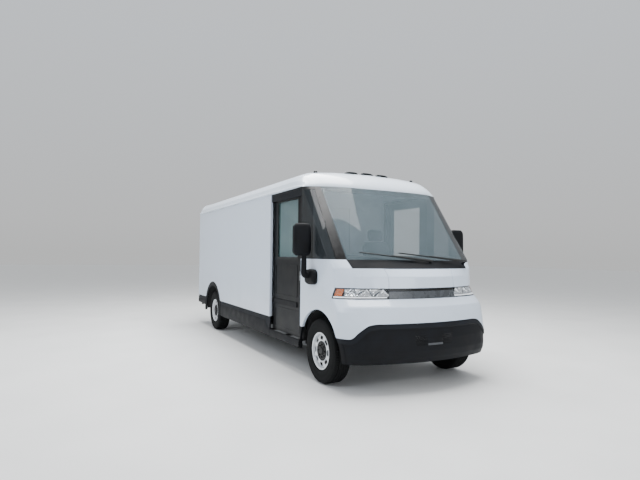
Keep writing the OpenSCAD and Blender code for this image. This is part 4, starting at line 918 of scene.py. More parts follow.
skin_panel("cowl_moulding", lambda a, b: (
    (2 * a - 1) * (cowl_u - 0.003), blend_to(hood_hi + 0.001, belt_z - 0.001, b)),
           121, 64, black_trim, depth=cowl_depth, replaces=["cowl_panel"], slot="black_trim")
skin_panel("windshield_pane", lambda a, b: (
    (2 * a - 1) * (glass_u - 0.002), blend_to(belt_z + 0.001, gutter_z - 0.002, b)),
           81, 41, windshield_glass, replaces=["windshield"], edge=0.0012, slot="tinted_glass")
for part, z0, z1 in (("lower", belt_z + 0.002, belt_z + 0.05), ("upper", gutter_z - 0.075, gutter_z - 0.003)):
    skin_panel(f"windshield_border_{part}", lambda a, b: ((2 * a - 1) * (glass_u - 0.004), blend_to(z0, z1, b)),
               81, 5, gloss_black, thick=0.001, depth=0.0066, edge=0, slot="black_trim")
for s in (1, -1):
    word = side_word(s)
    skin_panel(f"windshield_border_{word}", lambda a, b: (
        s * blend_to(glass_u - 0.05, glass_u - 0.004, a), blend_to(belt_z + 0.045, gutter_z - 0.07, b)),
        5, 41, gloss_black, thick=0.001, depth=0.0066, edge=0, slot="black_trim")

    def pillar(a, b):
        z = blend_to(belt_z + 0.001, gutter_z - 0.002, b)
        return s * blend_to(glass_u + 0.002, pillar_u(z) - 0.001, a), z

    def quarter(a, b):
        z = blend_to(belt_z + 0.0015, quarter_top - 0.001, b)
        return s * blend_to(pillar_u(z) + 0.01, 2.985, a), z

    skin_panel(f"windshield_pillar_{word}", pillar, 24, 41, gloss_black, thick=0.013, edge=0.003,
               replaces=["cab_frame"] if s > 0 else [], slot="black_trim")
    skin_panel(f"quarter_header_{word}", lambda a, b: (
        s * blend_to(1.262, 2.99, a), blend_to(quarter_top, gutter_z - 0.002, b)), 60, 5, gloss_black,
        thick=0.013, slot="black_trim")
    skin_panel(f"quarter_pane_{word}", quarter, 50, 33, quarter_glass, edge=0.0012,
               replaces=["quarter_glasses"] if s > 0 else [], slot="tinted_glass")
    # Door post behind the quarter pane, the rail over the door and the header strip
    box(f"front_door_post_{word}", (door_front_x, door_front_x + 0.05), span(s, side_y - 0.15, skin_y - 0.0075),
        (0.9, gutter_z - 0.04), door_grey, edge=0.003, slot="black_trim")
    box(f"front_door_post_top_{word}", (door_front_x, door_front_x + 0.05), span(s, side_y - 0.15, skin_y - 0.015),
        (gutter_z - 0.0395, gutter_z - 0.002), door_grey, edge=0.003, slot="black_trim")
    box(f"door_top_rail_{word}", (door_rear_x + 0.001, door_front_x - 0.0005), span(s, side_y - 0.15, side_y - 0.012),
        (gutter_z - 0.0215, gutter_z - 0.001), door_grey, slot="black_trim")
    strip = rect(door_rear_x + 0.001, door_front_x - 0.0005, gutter_z - 0.112, gutter_z - 0.022, 0.006)
    plate(f"door_header_{word}", [strip], "xz", *span(s, side_y - 0.046, side_y - 0.012), cladding, edge=0.004,
          slot="black_trim")
    for k in range(2):
        rib_z = gutter_z - 0.05 - 0.03 * k
        line = rect(door_rear_x + 0.02, door_front_x - 0.02, rib_z, rib_z + 0.006, 0.002)
        plate(f"door_header_rib_{word}_{k}", [line], "xz", *span(s, side_y - 0.0125, side_y - 0.0095), black_trim,
              edge=0.001, slot="black_trim")
# Firewall and beams inside the nose
firewall_x = (axle_x + 0.3005, axle_x + 0.306)
wall = np.array([(-0.568, floor_z - 0.04), (0.568, floor_z - 0.04), (0.568, 0.9), (0.96, 0.9), (0.96, 1.32),
                 (-0.96, 1.32), (-0.96, 0.9), (-0.568, 0.9)])
plate("firewall", [wall], "yz", *firewall_x, frame_black, slot="panel_grey")
for s in (1, -1):
    box(f"cab_side_beam_{side_word(s)}", (door_front_x + 0.05, firewall_x[1]), span(s, side_y - 0.15, side_y - 0.12),
        (1.24, 1.29), frame_black, slot="panel_grey")


# ---- Lamps ----
# Headlamps: a black tray, chrome reflectors folded like a zig-zag, a light guide under them and an amber turn
# lamp at the outer end, behind one clear lens. A dark smoked bar joins them across the nose.
skin_panel("light_bar_tray", lambda a, b: (
    (2 * a - 1) * (hood_u + 0.006), blend_to(strip_lo + 0.001, strip_hi - 0.001, b)),
           81, 5, black_trim, thick=0.012, depth=0.022, edge=0, replaces=["light_bar"], slot="lamp_dark")
skin_panel("light_bar_lens", lambda a, b: (
    (2 * a - 1) * (hood_u + 0.004), blend_to(strip_lo + 0.003, strip_hi - 0.003, b)),
           121, 21, bar_lens, thick=0.008, edge=0.003, slot="lamp_dark",
           depth=lambda a, b: 0.006 + 0.006 * np.clip((b - 0.72) / 0.05, 0, 1))
skin_panel("light_bar_upper_band", lambda a, b: (
    (2 * a - 1) * (hood_u - 0.006), blend_to(strip_hi - 0.036, strip_hi - 0.007, b)),
           121, 7, gloss_black, thick=0.004, depth=0.0085, edge=0.001, slot="lamp_dark")
for s in (1, -1):
    word = side_word(s)
    u0 = hood_u + 0.012

    def lamp(a, b, z0=strip_lo + 0.001, z1=strip_hi - 0.001, a0=0.0, a1=1.0):
        z = blend_to(z0, z1, b)
        return s * blend_to(u0, u_at(np.full(z.shape, lamp_front_x + 0.009), z), blend_to(a0, a1, a)), z

    skin_panel(f"headlamp_tray_{word}", lamp, 60, 9, gloss_black, thick=0.008, depth=0.05, edge=0,
               replaces=["headlamps"] if s > 0 else [], slot="lamp_dark")
    for part, z0, z1 in (("upper", strip_hi - 0.004, strip_hi - 0.001), ("lower", strip_lo + 0.001, strip_lo + 0.004)):
        skin_panel(f"headlamp_shelf_{part}_{word}", lambda a, b: lamp(a, b, z0, z1), 60, 3, gloss_black, thick=0.045,
                   depth=0.006, edge=0, slot="lamp_dark")
    # Reflectors: triangles point up and down in turn, each a shallow bright dish
    for k in range(6):
        def facet(a, b):
            narrow = 1 - 0.86 * (b if k % 2 == 0 else 1 - b)
            return lamp(0.075 + 0.118 * k + (a - 0.5) * 0.19 * narrow, b, strip_lo + 0.031, strip_hi - 0.014)
        skin_panel(f"headlamp_reflector_{word}_{k}", facet, 21, 13, lamp_chrome, thick=0.003, edge=0.0008,
                   depth=lambda a, b: 0.013 + 0.022 * np.sin(np.pi * a) * (0.4 + 0.6 * np.sin(np.pi * b)),
                   slot="lamp_chrome")
    skin_panel(f"headlamp_light_guide_{word}", lambda a, b: lamp(a, b, strip_lo + 0.012, strip_lo + 0.024, 0.02, 0.98),
               60, 5, led_white, thick=0.012, depth=0.01, edge=0.002, slot="lamp_chrome")
    skin_panel(f"headlamp_turn_lamp_{word}", lambda a, b: lamp(a, b, strip_lo + 0.032, strip_hi - 0.014, 0.77, 0.97),
               24, 13, amber_lens, thick=0.02, depth=0.014, edge=0.003, slot="lamp_chrome")
    skin_panel(f"headlamp_lens_{word}", lambda a, b: lamp(a, b, strip_lo + 0.0022, strip_hi - 0.0022, 0.0, 1.0),
               60, 13, clear_lens, thick=0.003, depth=0.0015, edge=0.001, slot="lamp_chrome")
    # Tail lamps: three red and amber chambers in a black frame, with a high stop lamp above
    half = 0.79
    for part, z0, z1, lens_material in (("stop", 1.152, 1.232, red_lens), ("turn", 1.07, 1.146, amber_lens),
                                        ("reverse", 0.988, 1.064, clear_lens)):
        chamber = rect(*span(s, half + 0.156, side_y - 0.036), z0, z1, 0.012)
        plate(f"tail_lamp_{part}_{word}", [chamber], "yz", rear_x - 0.013, rear_x - 0.003, lens_material, edge=0.003,
              slot="lamp_red", replaces=["tail_lamps"] if part == "stop" and s > 0 else [])
    plate(f"tail_lamp_frame_{word}", [rect(*span(s, half + 0.15, side_y - 0.03), 0.98, 1.24, 0.016)], "yz",
          rear_x - 0.008, rear_x - 0.0005, gloss_black, edge=0.002, slot="lamp_red")
    plate(f"high_stop_lamp_{word}", [rect(*span(s, half + 0.15, side_y - 0.03), 2.25, 2.31, 0.014)], "yz",
          rear_x - 0.01, rear_x - 0.0005, red_lens, edge=0.003, slot="lamp_red")


# ---- Lower cladding, arch trims and rear step ----
# Charcoal moulded cladding along the side: a lighter band leaning outward, a crisp ledge and a darker lower band.
# The ledge drops before the door to a thin sill. Rolled trims ring the rear arches.
sill_y = side_y - 0.004


def side_moulding(name, s, x_lo, x_hi, z_lo, z_hi, bulge, material, columns=60, rows=16, replaces=()):
    """Closed side panel between two x lines and two z lines; bulge(b) is how far it stands out up its height."""
    a, b = np.meshgrid(np.linspace(0, 1, columns), np.linspace(0, 1, rows), indexing="ij")
    x_mid = blend_to(x_lo(0.5), x_hi(0.5), a)
    z = blend_to(z_lo(x_mid), z_hi(x_mid), b)
    x = blend_to(x_lo(z), x_hi(z), a)
    outer = np.stack([x, s * (sill_y + bulge(b)), z], -1)
    inner = np.stack([x, np.full(x.shape, s * (sill_y - 0.019)), z], -1)
    made = make_mesh(name, *closed_sheet(outer, inner), material, "truck", replaces, 35, "black_trim")
    return round_edges(made, 0.0025, 3, 50)


def arch_front(z):
    return rear_axle_x + np.sqrt(np.clip(rear_arch_r ** 2 - (np.asarray(z, float) - tyre_r) ** 2, 0, None)) + 0.002


def arch_back(z):
    return rear_axle_x - np.sqrt(np.clip(rear_arch_r ** 2 - (np.asarray(z, float) - tyre_r) ** 2, 0, None)) - 0.002


front_well_x = axle_x - (arch_r + 0.001) + 0.002
fixed = lambda value: (lambda z: np.full(np.shape(z), value))
ledge = lambda x: np.interp(x, [door_rear_x - 0.2, door_rear_x - 0.01], [0.555, 0.442])
top_line = fixed(panel_low - 0.001)
bottom = lambda x: np.interp(x, [rear_axle_x - 0.3, rear_axle_x], [0.46, 0.34])
upper_bulge = lambda b: 0.003 - 0.014 * b
lower_bulge = lambda b: -0.002 + 0.007 * np.sin(np.pi * np.clip(b, 0, 1)) ** 0.6
for s in (1, -1):
    word = side_word(s)
    side_moulding(f"cladding_upper_front_{word}", s, arch_front, fixed(door_rear_x - 0.001), lambda x: ledge(x) + 0.004,
                  top_line, upper_bulge, cladding, 80, replaces=["sills"] if s > 0 else [])
    side_moulding(f"cladding_lower_front_{word}", s, arch_front, fixed(door_rear_x - 0.001), bottom, ledge, lower_bulge,
                  black_trim, 80)
    side_moulding(f"cladding_upper_rear_{word}", s, fixed(rear_x), arch_back, fixed(0.559), top_line, upper_bulge,
                  cladding, 40)
    side_moulding(f"cladding_lower_rear_{word}", s, fixed(rear_x), arch_back, bottom, fixed(0.555), lower_bulge,
                  black_trim, 40)
    side_moulding(f"door_sill_{word}", s, fixed(door_rear_x + 0.001), fixed(front_well_x), fixed(0.341), fixed(0.438),
                  lower_bulge, black_trim, 60)
    # Black vertical piece between the door and the front wheel
    t = np.radians(np.linspace(205, 151, 40))
    edge_line = np.column_stack([axle_x + arch_x + (arch_r + 0.002) * np.cos(t), tyre_r + (arch_r + 0.002) * np.sin(t)])
    keep = edge_line[(edge_line[:, 1] > 0.341) & (edge_line[:, 1] < 0.6212)]
    piece = np.concatenate([keep, [(keep[-1, 0], 0.6212), (door_front_x, 0.6212), (door_front_x, 0.341)]])
    plate(f"wheel_well_corner_{word}", [piece], "xz", *span(s, side_y - 0.04, side_y - 0.008), black_trim, edge=0.004,
          slot="black_trim")
    # Rear arch trim: outer lip, hollow and a lighter inner ring
    t = np.radians(np.linspace(-4, 184, 200))[:, None]
    r1 = rear_arch_r - 0.0006
    section = np.array([(r1, -0.028), (r1, 0.002), (r1 - 0.004, 0.004), (r1 - 0.018, 0.004), (r1 - 0.022, -0.001),
                        (r1 - 0.05, -0.002), (r1 - 0.054, 0.0005), (r1 - 0.0795, -0.004), (r1 - 0.0795, -0.028)])
    section = np.concatenate([rounded_line(section, 0.003, 1), section[-1:] + [0, -0.0005]])
    n = len(section)
    points = np.stack([rear_axle_x + section[:, 0] * np.cos(t), s * (side_y + section[:, 1]) * np.ones_like(t),
                       tyre_r + section[:, 0] * np.sin(t)], -1)
    faces = grid_faces(200, n, False, True).tolist() + [list(range(n)), list(range(199 * n, 200 * n))[::-1]]
    make_mesh(f"rear_arch_trim_{word}", points, faces, black_trim, "truck", ["arch_trims"] if s > 0 else [], 35,
              "black_trim")
box("rear_step_beam", (rear_x - 0.06, rear_x - 0.0005), (-1.0, 1.0), (0.43, 0.56), black_trim, edge=0.012,
    replaces=["rear_bumper"], slot="black_trim")
box("rear_step_tread", (rear_x - 0.054, rear_x - 0.0005), (-0.82, 0.82), (0.56, 0.566), alloy_trim, edge=0.0015,
    slot="black_trim")
for k in range(4):
    rib_x = rear_x - 0.05 + 0.012 * k
    box(f"rear_step_rib_{k}", (rib_x, rib_x + 0.006), (-0.8, 0.8), (0.5658, 0.5675), alloy_trim, edge=0.0005,
        slot="black_trim")


# ---- Rear frame and rear doors ----
# Welded white portal with the roof's gable, and two swinging leaves with framed windows, strap hinges on steel
# pins and a turning latch.
half = 0.79  # half the width of the rear opening
gable = np.array([(y, gutter_z + z) for y, z in zip(*roof_at(np.linspace(0.9995, -0.9995, 121), 0.0245))])
gable[:, 0] = np.clip(gable[:, 0], 0.0245 - side_y, side_y - 0.0245)
portal = np.concatenate([
    [(half, panel_low), (side_y, panel_low), (side_y, gutter_z - 0.001), (side_y - 0.0245, gutter_z - 0.001)], gable,
    [(0.0245 - side_y, gutter_z - 0.001), (-side_y, gutter_z - 0.001), (-side_y, panel_low), (-half, panel_low),
     (-half, 2.33), (half, 2.33)]])
plate("rear_portal", [portal], "yz", rear_x, rear_x + 0.06, white_paint, edge=0.003, replaces=["rear_frame"],
      slot="white_paint")
box("rear_threshold", (rear_x, rear_x + 0.06), (-half, half), (floor_z - 0.04, floor_z - 0.001), alloy_trim,
    slot="white_paint")


def cylinder(name, base, tip, radius, material, body, around=32, **rest):
    """Round bar between two points with slightly rounded ends."""
    base, tip = np.array(base, float), np.array(tip, float)
    axis = (tip - base) / np.linalg.norm(tip - base)
    a = np.cross(axis, (0, 0, 1) if abs(axis[2]) < 0.9 else (1, 0, 0))
    a /= np.linalg.norm(a)
    b = np.cross(axis, a)
    t = np.linspace(0, 2 * np.pi, around, endpoint=False)[:, None]
    circle = np.cos(t) * a + np.sin(t) * b
    e = min(0.0012, radius * 0.3)
    rings = [base + circle * (radius - e), base + axis * e + circle * radius, tip - axis * e + circle * radius,
             tip + circle * (radius - e)]
    faces = grid_faces(4, around, False, True).tolist()
    faces += [list(range(around)), list(range(3 * around, 4 * around))[::-1]]
    return make_mesh(name, np.concatenate(rings), faces, material, body, sharp=50, **rest)


for s in (1, -1):
    word = side_word(s)
    body = f"rear_door_{word}"
    leaf = rect(*span(s, 0.002, half - 0.004), floor_z + 0.005, 2.325, 0.012)
    window = rect(*span(s, half - 0.56, half - 0.16), 1.56, 2.12, 0.05, 12)
    plate(f"rear_leaf_{word}", [leaf, window], "yz", rear_x, rear_x + 0.0395, white_paint, body, 0.004,
          replaces=[body], slot="white_paint")
    seal = rect(*span(s, half - 0.575, half - 0.145), 1.545, 2.135, 0.06, 12)
    plate(f"rear_window_seal_{word}", [seal, rect(*span(s, half - 0.55, half - 0.17), 1.57, 2.11, 0.045, 12)], "yz",
          rear_x - 0.004, rear_x + 0.003, seal_rubber, body, 0.0015, slot="black_trim")
    plate(f"rear_window_{word}", [rect(*span(s, half - 0.5596, half - 0.1604), 1.5604, 2.1196, 0.049, 12)], "yz",
          rear_x + 0.014, rear_x + 0.02, side_glass, body, 0.001, slot="tinted_glass")
    plate(f"rear_leaf_pressing_{word}", [rect(*span(s, half - 0.66, half - 0.08), 0.76, 1.42, 0.04),
                                         rect(*span(s, half - 0.64, half - 0.1), 0.78, 1.4, 0.03)], "yz",
          rear_x - 0.0035, rear_x + 0.001, white_paint, body, 0.0015, slot="white_paint")
    for index, h in enumerate((0.82, 1.44, 2.06)):
        pin_x, pin_y = rear_x - 0.012, s * (half + 0.015)
        cylinder(f"hinge_barrel_{word}_{index}", (pin_x, pin_y, h + 0.0404), (pin_x, pin_y, h + 0.1096), 0.011,
                 latch_steel, body, slot="latch_steel")
        box(f"hinge_strap_{word}_{index}", (rear_x - 0.009, rear_x - 0.0035), span(s, half - 0.13, half + 0.012),
            (h + 0.042, h + 0.108), latch_steel, body, 0.0015, 0.002, slot="latch_steel")
        for k, z in enumerate((h, h + 0.11)):
            cylinder(f"hinge_knuckle_{word}_{index}_{k}", (pin_x, pin_y, z), (pin_x, pin_y, z + 0.04), 0.011,
                     latch_steel, "truck", slot="latch_steel")
            box(f"hinge_leaf_{word}_{index}_{k}", (rear_x - 0.014, rear_x - 0.0002), span(s, half + 0.018, half + 0.06),
                (z, z + 0.04), latch_steel, "truck", 0.0015, 0.002, slot="latch_steel")
        cylinder(f"hinge_pin_{word}_{index}", (pin_x, pin_y, h + 0.0395), (pin_x, pin_y, h + 0.1105), 0.005,
                 latch_steel, "truck", slot="latch_steel")
for z in (0.74, 2.18):
    box(f"lock_keep_{round(z * 100)}", (rear_x - 0.03, rear_x - 0.0002), (0.02, 0.05), (z, z + 0.04), latch_steel,
        "rear_door_left", 0.003, 0.004, slot="latch_steel")
cylinder("latch_spindle", (rear_x - 0.026, -0.11, 1.25), (rear_x + 0.001, -0.11, 1.25), 0.009, latch_steel,
         "rear_door_right", slot="latch_steel")
plate("latch_plate", [rect(-0.15, -0.07, 1.18, 1.32, 0.01)], "yz", rear_x - 0.004, rear_x + 0.0005, latch_steel,
      "rear_door_right", 0.001, slot="latch_steel")


# ---- Side doors ----
# Sliding doors in satin black powder coat: a framed window above, a pressed lower panel, a rubbing rail, a
# recessed pull near the front edge and rubber seals all round.
door_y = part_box("door_glass_left")[0][1] - 0.017
door_x = (door_rear_x + 0.005, door_front_x - 0.005)
door_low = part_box("door_left")[0][2]
door_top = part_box("door_left")[1][2]
pane_lo, pane_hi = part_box("door_glass_left")
for s in (1, -1):
    word = side_word(s)
    body = f"door_{word}"
    y0, y1 = door_y, door_y + 0.04
    glass_loop = rect(pane_lo[0] - 0.0004, pane_hi[0] + 0.0004, pane_lo[2] - 0.0004, pane_hi[2] + 0.0004, 0.03, 10)
    pull = rect(door_x[1] - 0.13, door_x[1] - 0.06, 1.18, 1.33, 0.018)
    plate(f"side_door_inner_{word}", [rect(*door_x, door_low, door_top, 0.01), glass_loop], "xz",
          *span(s, y0, y1 - 0.0145), door_grey, body, 0.002, replaces=[f"door_{word}"], slot="door_grey")
    plate(f"side_door_outer_{word}", [rect(*door_x, door_low, door_top, 0.01), glass_loop, pull], "xz",
          *span(s, y1 - 0.0143, y1), door_grey, body, 0.003, slot="door_grey")
    seal_in = rect(pane_lo[0] + 0.016, pane_hi[0] - 0.016, pane_lo[2] + 0.016, pane_hi[2] - 0.016, 0.022, 10)
    seal_out = rect(pane_lo[0] - 0.014, pane_hi[0] + 0.014, pane_lo[2] - 0.014, pane_hi[2] + 0.014, 0.04, 10)
    plate(f"side_window_seal_{word}", [seal_out, seal_in], "xz", *span(s, y1 - 0.003, y1 + 0.004), seal_rubber, body,
          0.0015, slot="black_trim")
    plate(f"side_window_{word}", [rect(pane_lo[0], pane_hi[0], pane_lo[2], pane_hi[2], 0.029, 10)], "xz",
          *span(s, pane_lo[1], pane_hi[1]), side_glass, body, 0.001, replaces=[f"door_glass_{word}"],
          slot="tinted_glass")
    plate(f"side_door_pressing_{word}", [rect(door_x[0] + 0.09, door_x[1] - 0.2, 0.96, 1.4, 0.03),
                                         rect(door_x[0] + 0.105, door_x[1] - 0.215, 0.975, 1.385, 0.022)], "xz",
          *span(s, y1 - 0.001, y1 + 0.004), door_grey, body, 0.002, slot="door_grey")
    plate(f"side_door_lower_pressing_{word}", [rect(door_x[0] + 0.09, door_x[1] - 0.1, 0.5, 0.79, 0.03),
                                               rect(door_x[0] + 0.105, door_x[1] - 0.115, 0.515, 0.775, 0.022)], "xz",
          *span(s, y1 - 0.001, y1 + 0.004), door_grey, body, 0.002, slot="door_grey")
    plate(f"rubbing_rail_{word}", [rect(door_x[0] + 0.002, door_x[1] - 0.2, 0.83, 0.9, 0.012)], "xz",
          *span(s, y1 - 0.0005, y1 + 0.01), black_trim, body, 0.004, slot="black_trim")
    plate(f"door_pull_{word}", [rect(door_x[1] - 0.105, door_x[1] - 0.085, 1.19, 1.32, 0.009)], "xz",
          *span(s, y1 - 0.014, y1 + 0.014), latch_steel, body, 0.004, slot="latch_steel")
    plate(f"door_grip_{word}", [rect(door_x[1] - 0.09, door_x[1] - 0.07, 1.0, 1.3, 0.009)], "xz",
          *span(s, y0 - 0.02, y0 - 0.0002), latch_steel, body, 0.004, slot="latch_steel")
    seal = rect(door_x[1] - 0.004, door_x[1] + 0.003, door_low + 0.02, door_top - 0.02, 0.003)
    plate(f"door_edge_seal_{word}", [seal],
          "xz", *span(s, y0 + 0.006, y1 - 0.006), seal_rubber, body, 0.0015, slot="black_trim")


# ---- Mirrors ----
# Tall moulded heads on a round arm from a black pod on the fender, each with a flat silvered glass facing back.
mirror_lo, mirror_hi = map(np.array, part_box("mirror_head_left"))
mirror_at = (mirror_lo + mirror_hi) / 2
pivot = ((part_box("mirror_bases")[0][0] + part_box("mirror_bases")[1][0]) / 2, skin_y + 0.12)


def loft(name, sections, material, body, **rest):
    """Closed shell over stacked loops of equal length, capped at both ends."""
    rows, n = len(sections), len(sections[0])
    faces = grid_faces(rows, n, False, True).tolist()
    faces += [list(range(n)), list(range((rows - 1) * n, rows * n))[::-1]]
    return make_mesh(name, np.concatenate(sections), faces, material, body, **rest)


def pillow(half_a, half_b, power, n=72):
    """Superellipse loop in its own plane."""
    t = np.linspace(0, 2 * np.pi, n, endpoint=False)
    return np.column_stack([half_a * np.sign(np.cos(t)) * np.abs(np.cos(t)) ** (2 / power),
                            half_b * np.sign(np.sin(t)) * np.abs(np.sin(t)) ** (2 / power)])


for s in (1, -1):
    word = side_word(s)
    head = f"mirror_{word}"
    size = (mirror_hi - mirror_lo) / 2
    stack = []
    for t in np.linspace(-1, 1, 41):
        swell = (1 - np.abs(t) ** 7) ** 0.32 if abs(t) < 1 else 0.55
        swell = max(swell, 0.55)
        loop = pillow(size[0] * swell * (1 - 0.05 * t), size[1] * (0.35 + 0.65 * swell) * (1 - 0.02 * t), 3.4)
        stack.append(np.column_stack([mirror_at[0] + loop[:, 0], s * mirror_at[1] + loop[:, 1],
                                      np.full(len(loop), mirror_at[2] + size[2] * t)]))
    loft(f"mirror_shell_{word}", stack, black_trim, head, replaces=[f"mirror_head_{word}"], sharp=60, slot="black_trim")
    y_mid = s * mirror_at[1]
    frame_loop = rect(y_mid - 0.102, y_mid + 0.102, mirror_lo[2] + 0.018, mirror_hi[2] - 0.018, 0.03, 10)
    glass_loop = rect(y_mid - 0.094, y_mid + 0.094, mirror_lo[2] + 0.026, mirror_hi[2] - 0.026, 0.024, 10)
    plate(f"mirror_rim_{word}", [frame_loop, glass_loop], "yz", mirror_lo[0] - 0.003, mirror_lo[0] + 0.01, gloss_black,
          head, 0.002, slot="black_trim")
    glass = rect(y_mid - 0.093, y_mid + 0.093, mirror_lo[2] + 0.14, mirror_hi[2] - 0.027, 0.02, 8)
    plate(f"mirror_glass_{word}", [glass],
          "yz", mirror_lo[0] - 0.0005, mirror_lo[0] + 0.006, mirror_glass, head, 0.001, slot="tinted_glass")
    plate(f"mirror_wide_glass_{word}", [rect(y_mid - 0.093, y_mid + 0.093, mirror_lo[2] + 0.027, mirror_lo[2] + 0.132,
                                             0.02, 8)],
          "yz", mirror_lo[0] - 0.0005, mirror_lo[0] + 0.006, mirror_glass, head, 0.002, slot="tinted_glass")
    pod = []
    for t, grow in ((0.0, 1.0), (0.02, 1.0), (0.04, 0.97), (0.052, 0.9), (0.06, 0.76), (0.062, 0.6)):
        loop = pillow(0.135 * grow, 0.095 * grow, 3.2)
        out = np.full(len(loop), s * (skin_y + 0.0004 + t))
        pod.append(np.column_stack([pivot[0] + loop[:, 0], out, 1.265 + loop[:, 1]]))
    loft(f"mirror_pod_{word}", pod, black_trim, "truck", replaces=["mirror_bases"] if s > 0 else [], sharp=50,
         slot="black_trim")
    # Arm bends up from the pod to the head's socket
    path = rounded_line([(skin_y + 0.05, 1.285), (pivot[1] - 0.012, 1.285), (pivot[1], 1.3),
                         (pivot[1], mirror_lo[2] - 0.0006)],
                        0.012, 3)
    bend = np.gradient(path, axis=0)
    bend /= np.linalg.norm(bend, axis=1)[:, None]
    t = np.linspace(0, 2 * np.pi, 36, endpoint=False)
    thick = np.interp(np.linspace(0, 1, len(path)), [0, 0.3, 0.8, 1], [0.04, 0.036, 0.034, 0.024])
    tube = [np.column_stack([pivot[0] + r * np.cos(t), s * (p[0] - d[1] * r * np.sin(t)), p[1] + d[0] * r * np.sin(t)])
            for p, d, r in zip(path, bend, thick)]
    loft(f"mirror_arm_{word}", tube, black_trim, "truck", sharp=50, slot="black_trim")
    pin = (pivot[0], s * pivot[1])
    cylinder(f"mirror_pivot_{word}", (*pin, mirror_lo[2] - 0.0006), (*pin, mirror_lo[2] + 0.06),
             0.01, pedal_steel, "truck", slot="pedal_steel")


# ---- Wipers ----
# Two pantograph-style arms in black coated steel, each with a sprung blade and rubber lip, parked low on the glass.
rake = math.atan2(gutter_z - belt_z, 0.685)
slope = np.array([math.cos(rake), 0, -math.sin(rake)])
normal = np.array([math.sin(rake), 0, math.cos(rake)])
rest_turn = math.radians(-7)


def on_glass(points, y):
    """Points (down the slope, across, off the glass) turned to the parked angle and set at a wiper's spindle."""
    p = np.asarray(points, float)
    c, q = math.cos(rest_turn), math.sin(rest_turn)
    a = p[..., 0] * c - p[..., 1] * q
    b = p[..., 0] * q + p[..., 1] * c
    origin = np.array([axle_x + nose_x - 0.435, y, belt_z]) + slope * 0.034 + normal * 0.024
    return origin + a[..., None] * slope + b[..., None] * np.array([0, 1, 0]) + p[..., 2][..., None] * normal


def bar_loft(name, y, stations, material, body, **rest):
    """Tapered bar: each station is (across, down-slope middle, off-glass middle, half width, half height)."""
    loops = []
    for across, down, off, wide, high in stations:
        loop = pillow(wide, high, 3.0, 20)
        loops.append(on_glass(np.column_stack([down + loop[:, 0], np.full(20, across), off + loop[:, 1]]), y))
    return loft(name, loops, material, body, sharp=45, **rest)


for word, y in (("right", 0.24), ("left", 0.8)):
    body = f"wiper_{word}"
    bar_loft(f"wiper_arm_{word}", y, [(0.026, 0, 0.014, 0.012, 0.006), (0.0, 0, 0.015, 0.015, 0.008),
                                      (-0.06, 0, 0.016, 0.013, 0.008), (-0.2, 0, 0.015, 0.011, 0.006),
                                      (-0.45, 0, 0.014, 0.01, 0.006), (-0.555, 0, 0.013, 0.009, 0.005)],
             wiper_black, body, replaces=[body], slot="wiper_black")
    bar_loft(f"wiper_link_{word}", y, [(0.0, 0.014, 0.012, 0.003, 0.003), (-0.3, 0.016, 0.012, 0.003, 0.003),
                                       (-0.54, 0.008, 0.012, 0.003, 0.003)], wiper_black, body, slot="wiper_black")
    bar_loft(f"wiper_blade_{word}", y, [(-0.2, 0, 0.004, 0.002, 0.003), (-0.24, 0, 0.004, 0.006, 0.005),
                                        (-0.6, 0, 0.005, 0.0075, 0.006), (-0.96, 0, 0.004, 0.006, 0.005),
                                        (-1.0, 0, 0.004, 0.002, 0.003)], wiper_black, body, slot="wiper_black")
    bar_loft(f"wiper_rubber_{word}", y, [(-0.205, 0, -0.004, 0.0012, 0.004), (-0.6, 0, -0.004, 0.0015, 0.004),
                                         (-0.995, 0, -0.004, 0.0012, 0.004)], seal_rubber, body, slot="wiper_black")
    origin = np.array([axle_x + nose_x - 0.435, y, belt_z]) + slope * 0.034 + normal * 0.024
    cylinder(f"wiper_cap_{word}", origin + normal * 0.0005, origin + normal * 0.022, 0.018, wiper_black, body, 40,
             slot="wiper_black")
    cylinder(f"wiper_spindle_{word}", origin - normal * (0.036 + 0.8 * 0.03 * y * y), origin - normal * 0.0006, 0.016,
             black_trim, "truck", 40, slot="black_trim")


# ---- Cab interior ----
# Soft-skinned dashboard with an instrument hood and screen, a stitched seat on its box, a folding jump seat and a
# leather-grained steering wheel.
dash_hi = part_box("dashboard")[1]
wheel_centre = (axle_x - 0.15, 0.45, 1.33)
profile = rounded_line([(axle_x + 0.3, 0.96), (axle_x + 0.3, 1.335), (axle_x + 0.12, 1.35), (axle_x - 0.03, 1.29),
                        (axle_x - 0.07, 1.19), (axle_x - 0.04, 1.12), (axle_x + 0.06, 0.96),
                        (axle_x + 0.3, 0.96)], 0.02, 2)
plate("dashboard_body", [profile[:-1]], "xz", -dash_hi[1], dash_hi[1], dash_grey, edge=0.01,
      replaces=["dashboard"], slot="dash_grey")
box("instrument_hood", (axle_x - 0.04, axle_x + 0.15), (0.28, 0.62), (1.29, 1.385), dash_grey, edge=0.02, r=0.03,
    slot="dash_grey")
box("instrument_screen", (axle_x - 0.044, axle_x - 0.036), (0.31, 0.59), (1.305, 1.37), gloss_black,
    edge=0.003, r=0.002, slot="dash_grey")
box("glove_tray", (axle_x - 0.09, axle_x - 0.02), (-0.76, -0.26), (1.1, 1.124), dash_grey, edge=0.006, r=0.012,
    slot="dash_grey")
for k, y in enumerate((-0.8, -0.1, 0.16, 0.82)):
    box(f"dash_vent_{k}", (axle_x - 0.064, axle_x - 0.05), (y - 0.06, y + 0.06), (1.215, 1.265), black_trim, edge=0.004,
        r=0.004, slot="dash_grey")
tilt = math.radians(40)
column_base = np.array(wheel_centre)


def at_column(points):
    """Points given as (radial a, radial b, along the column) in the steering wheel's plane."""
    p = np.asarray(points, float)
    axis = np.array([math.cos(tilt), 0, -math.sin(tilt)])
    across = np.array([0, 1, 0])
    rise = np.array([math.sin(tilt), 0, math.cos(tilt)])
    return column_base + p[..., 0][..., None] * rise + p[..., 1][..., None] * across + p[..., 2][..., None] * axis


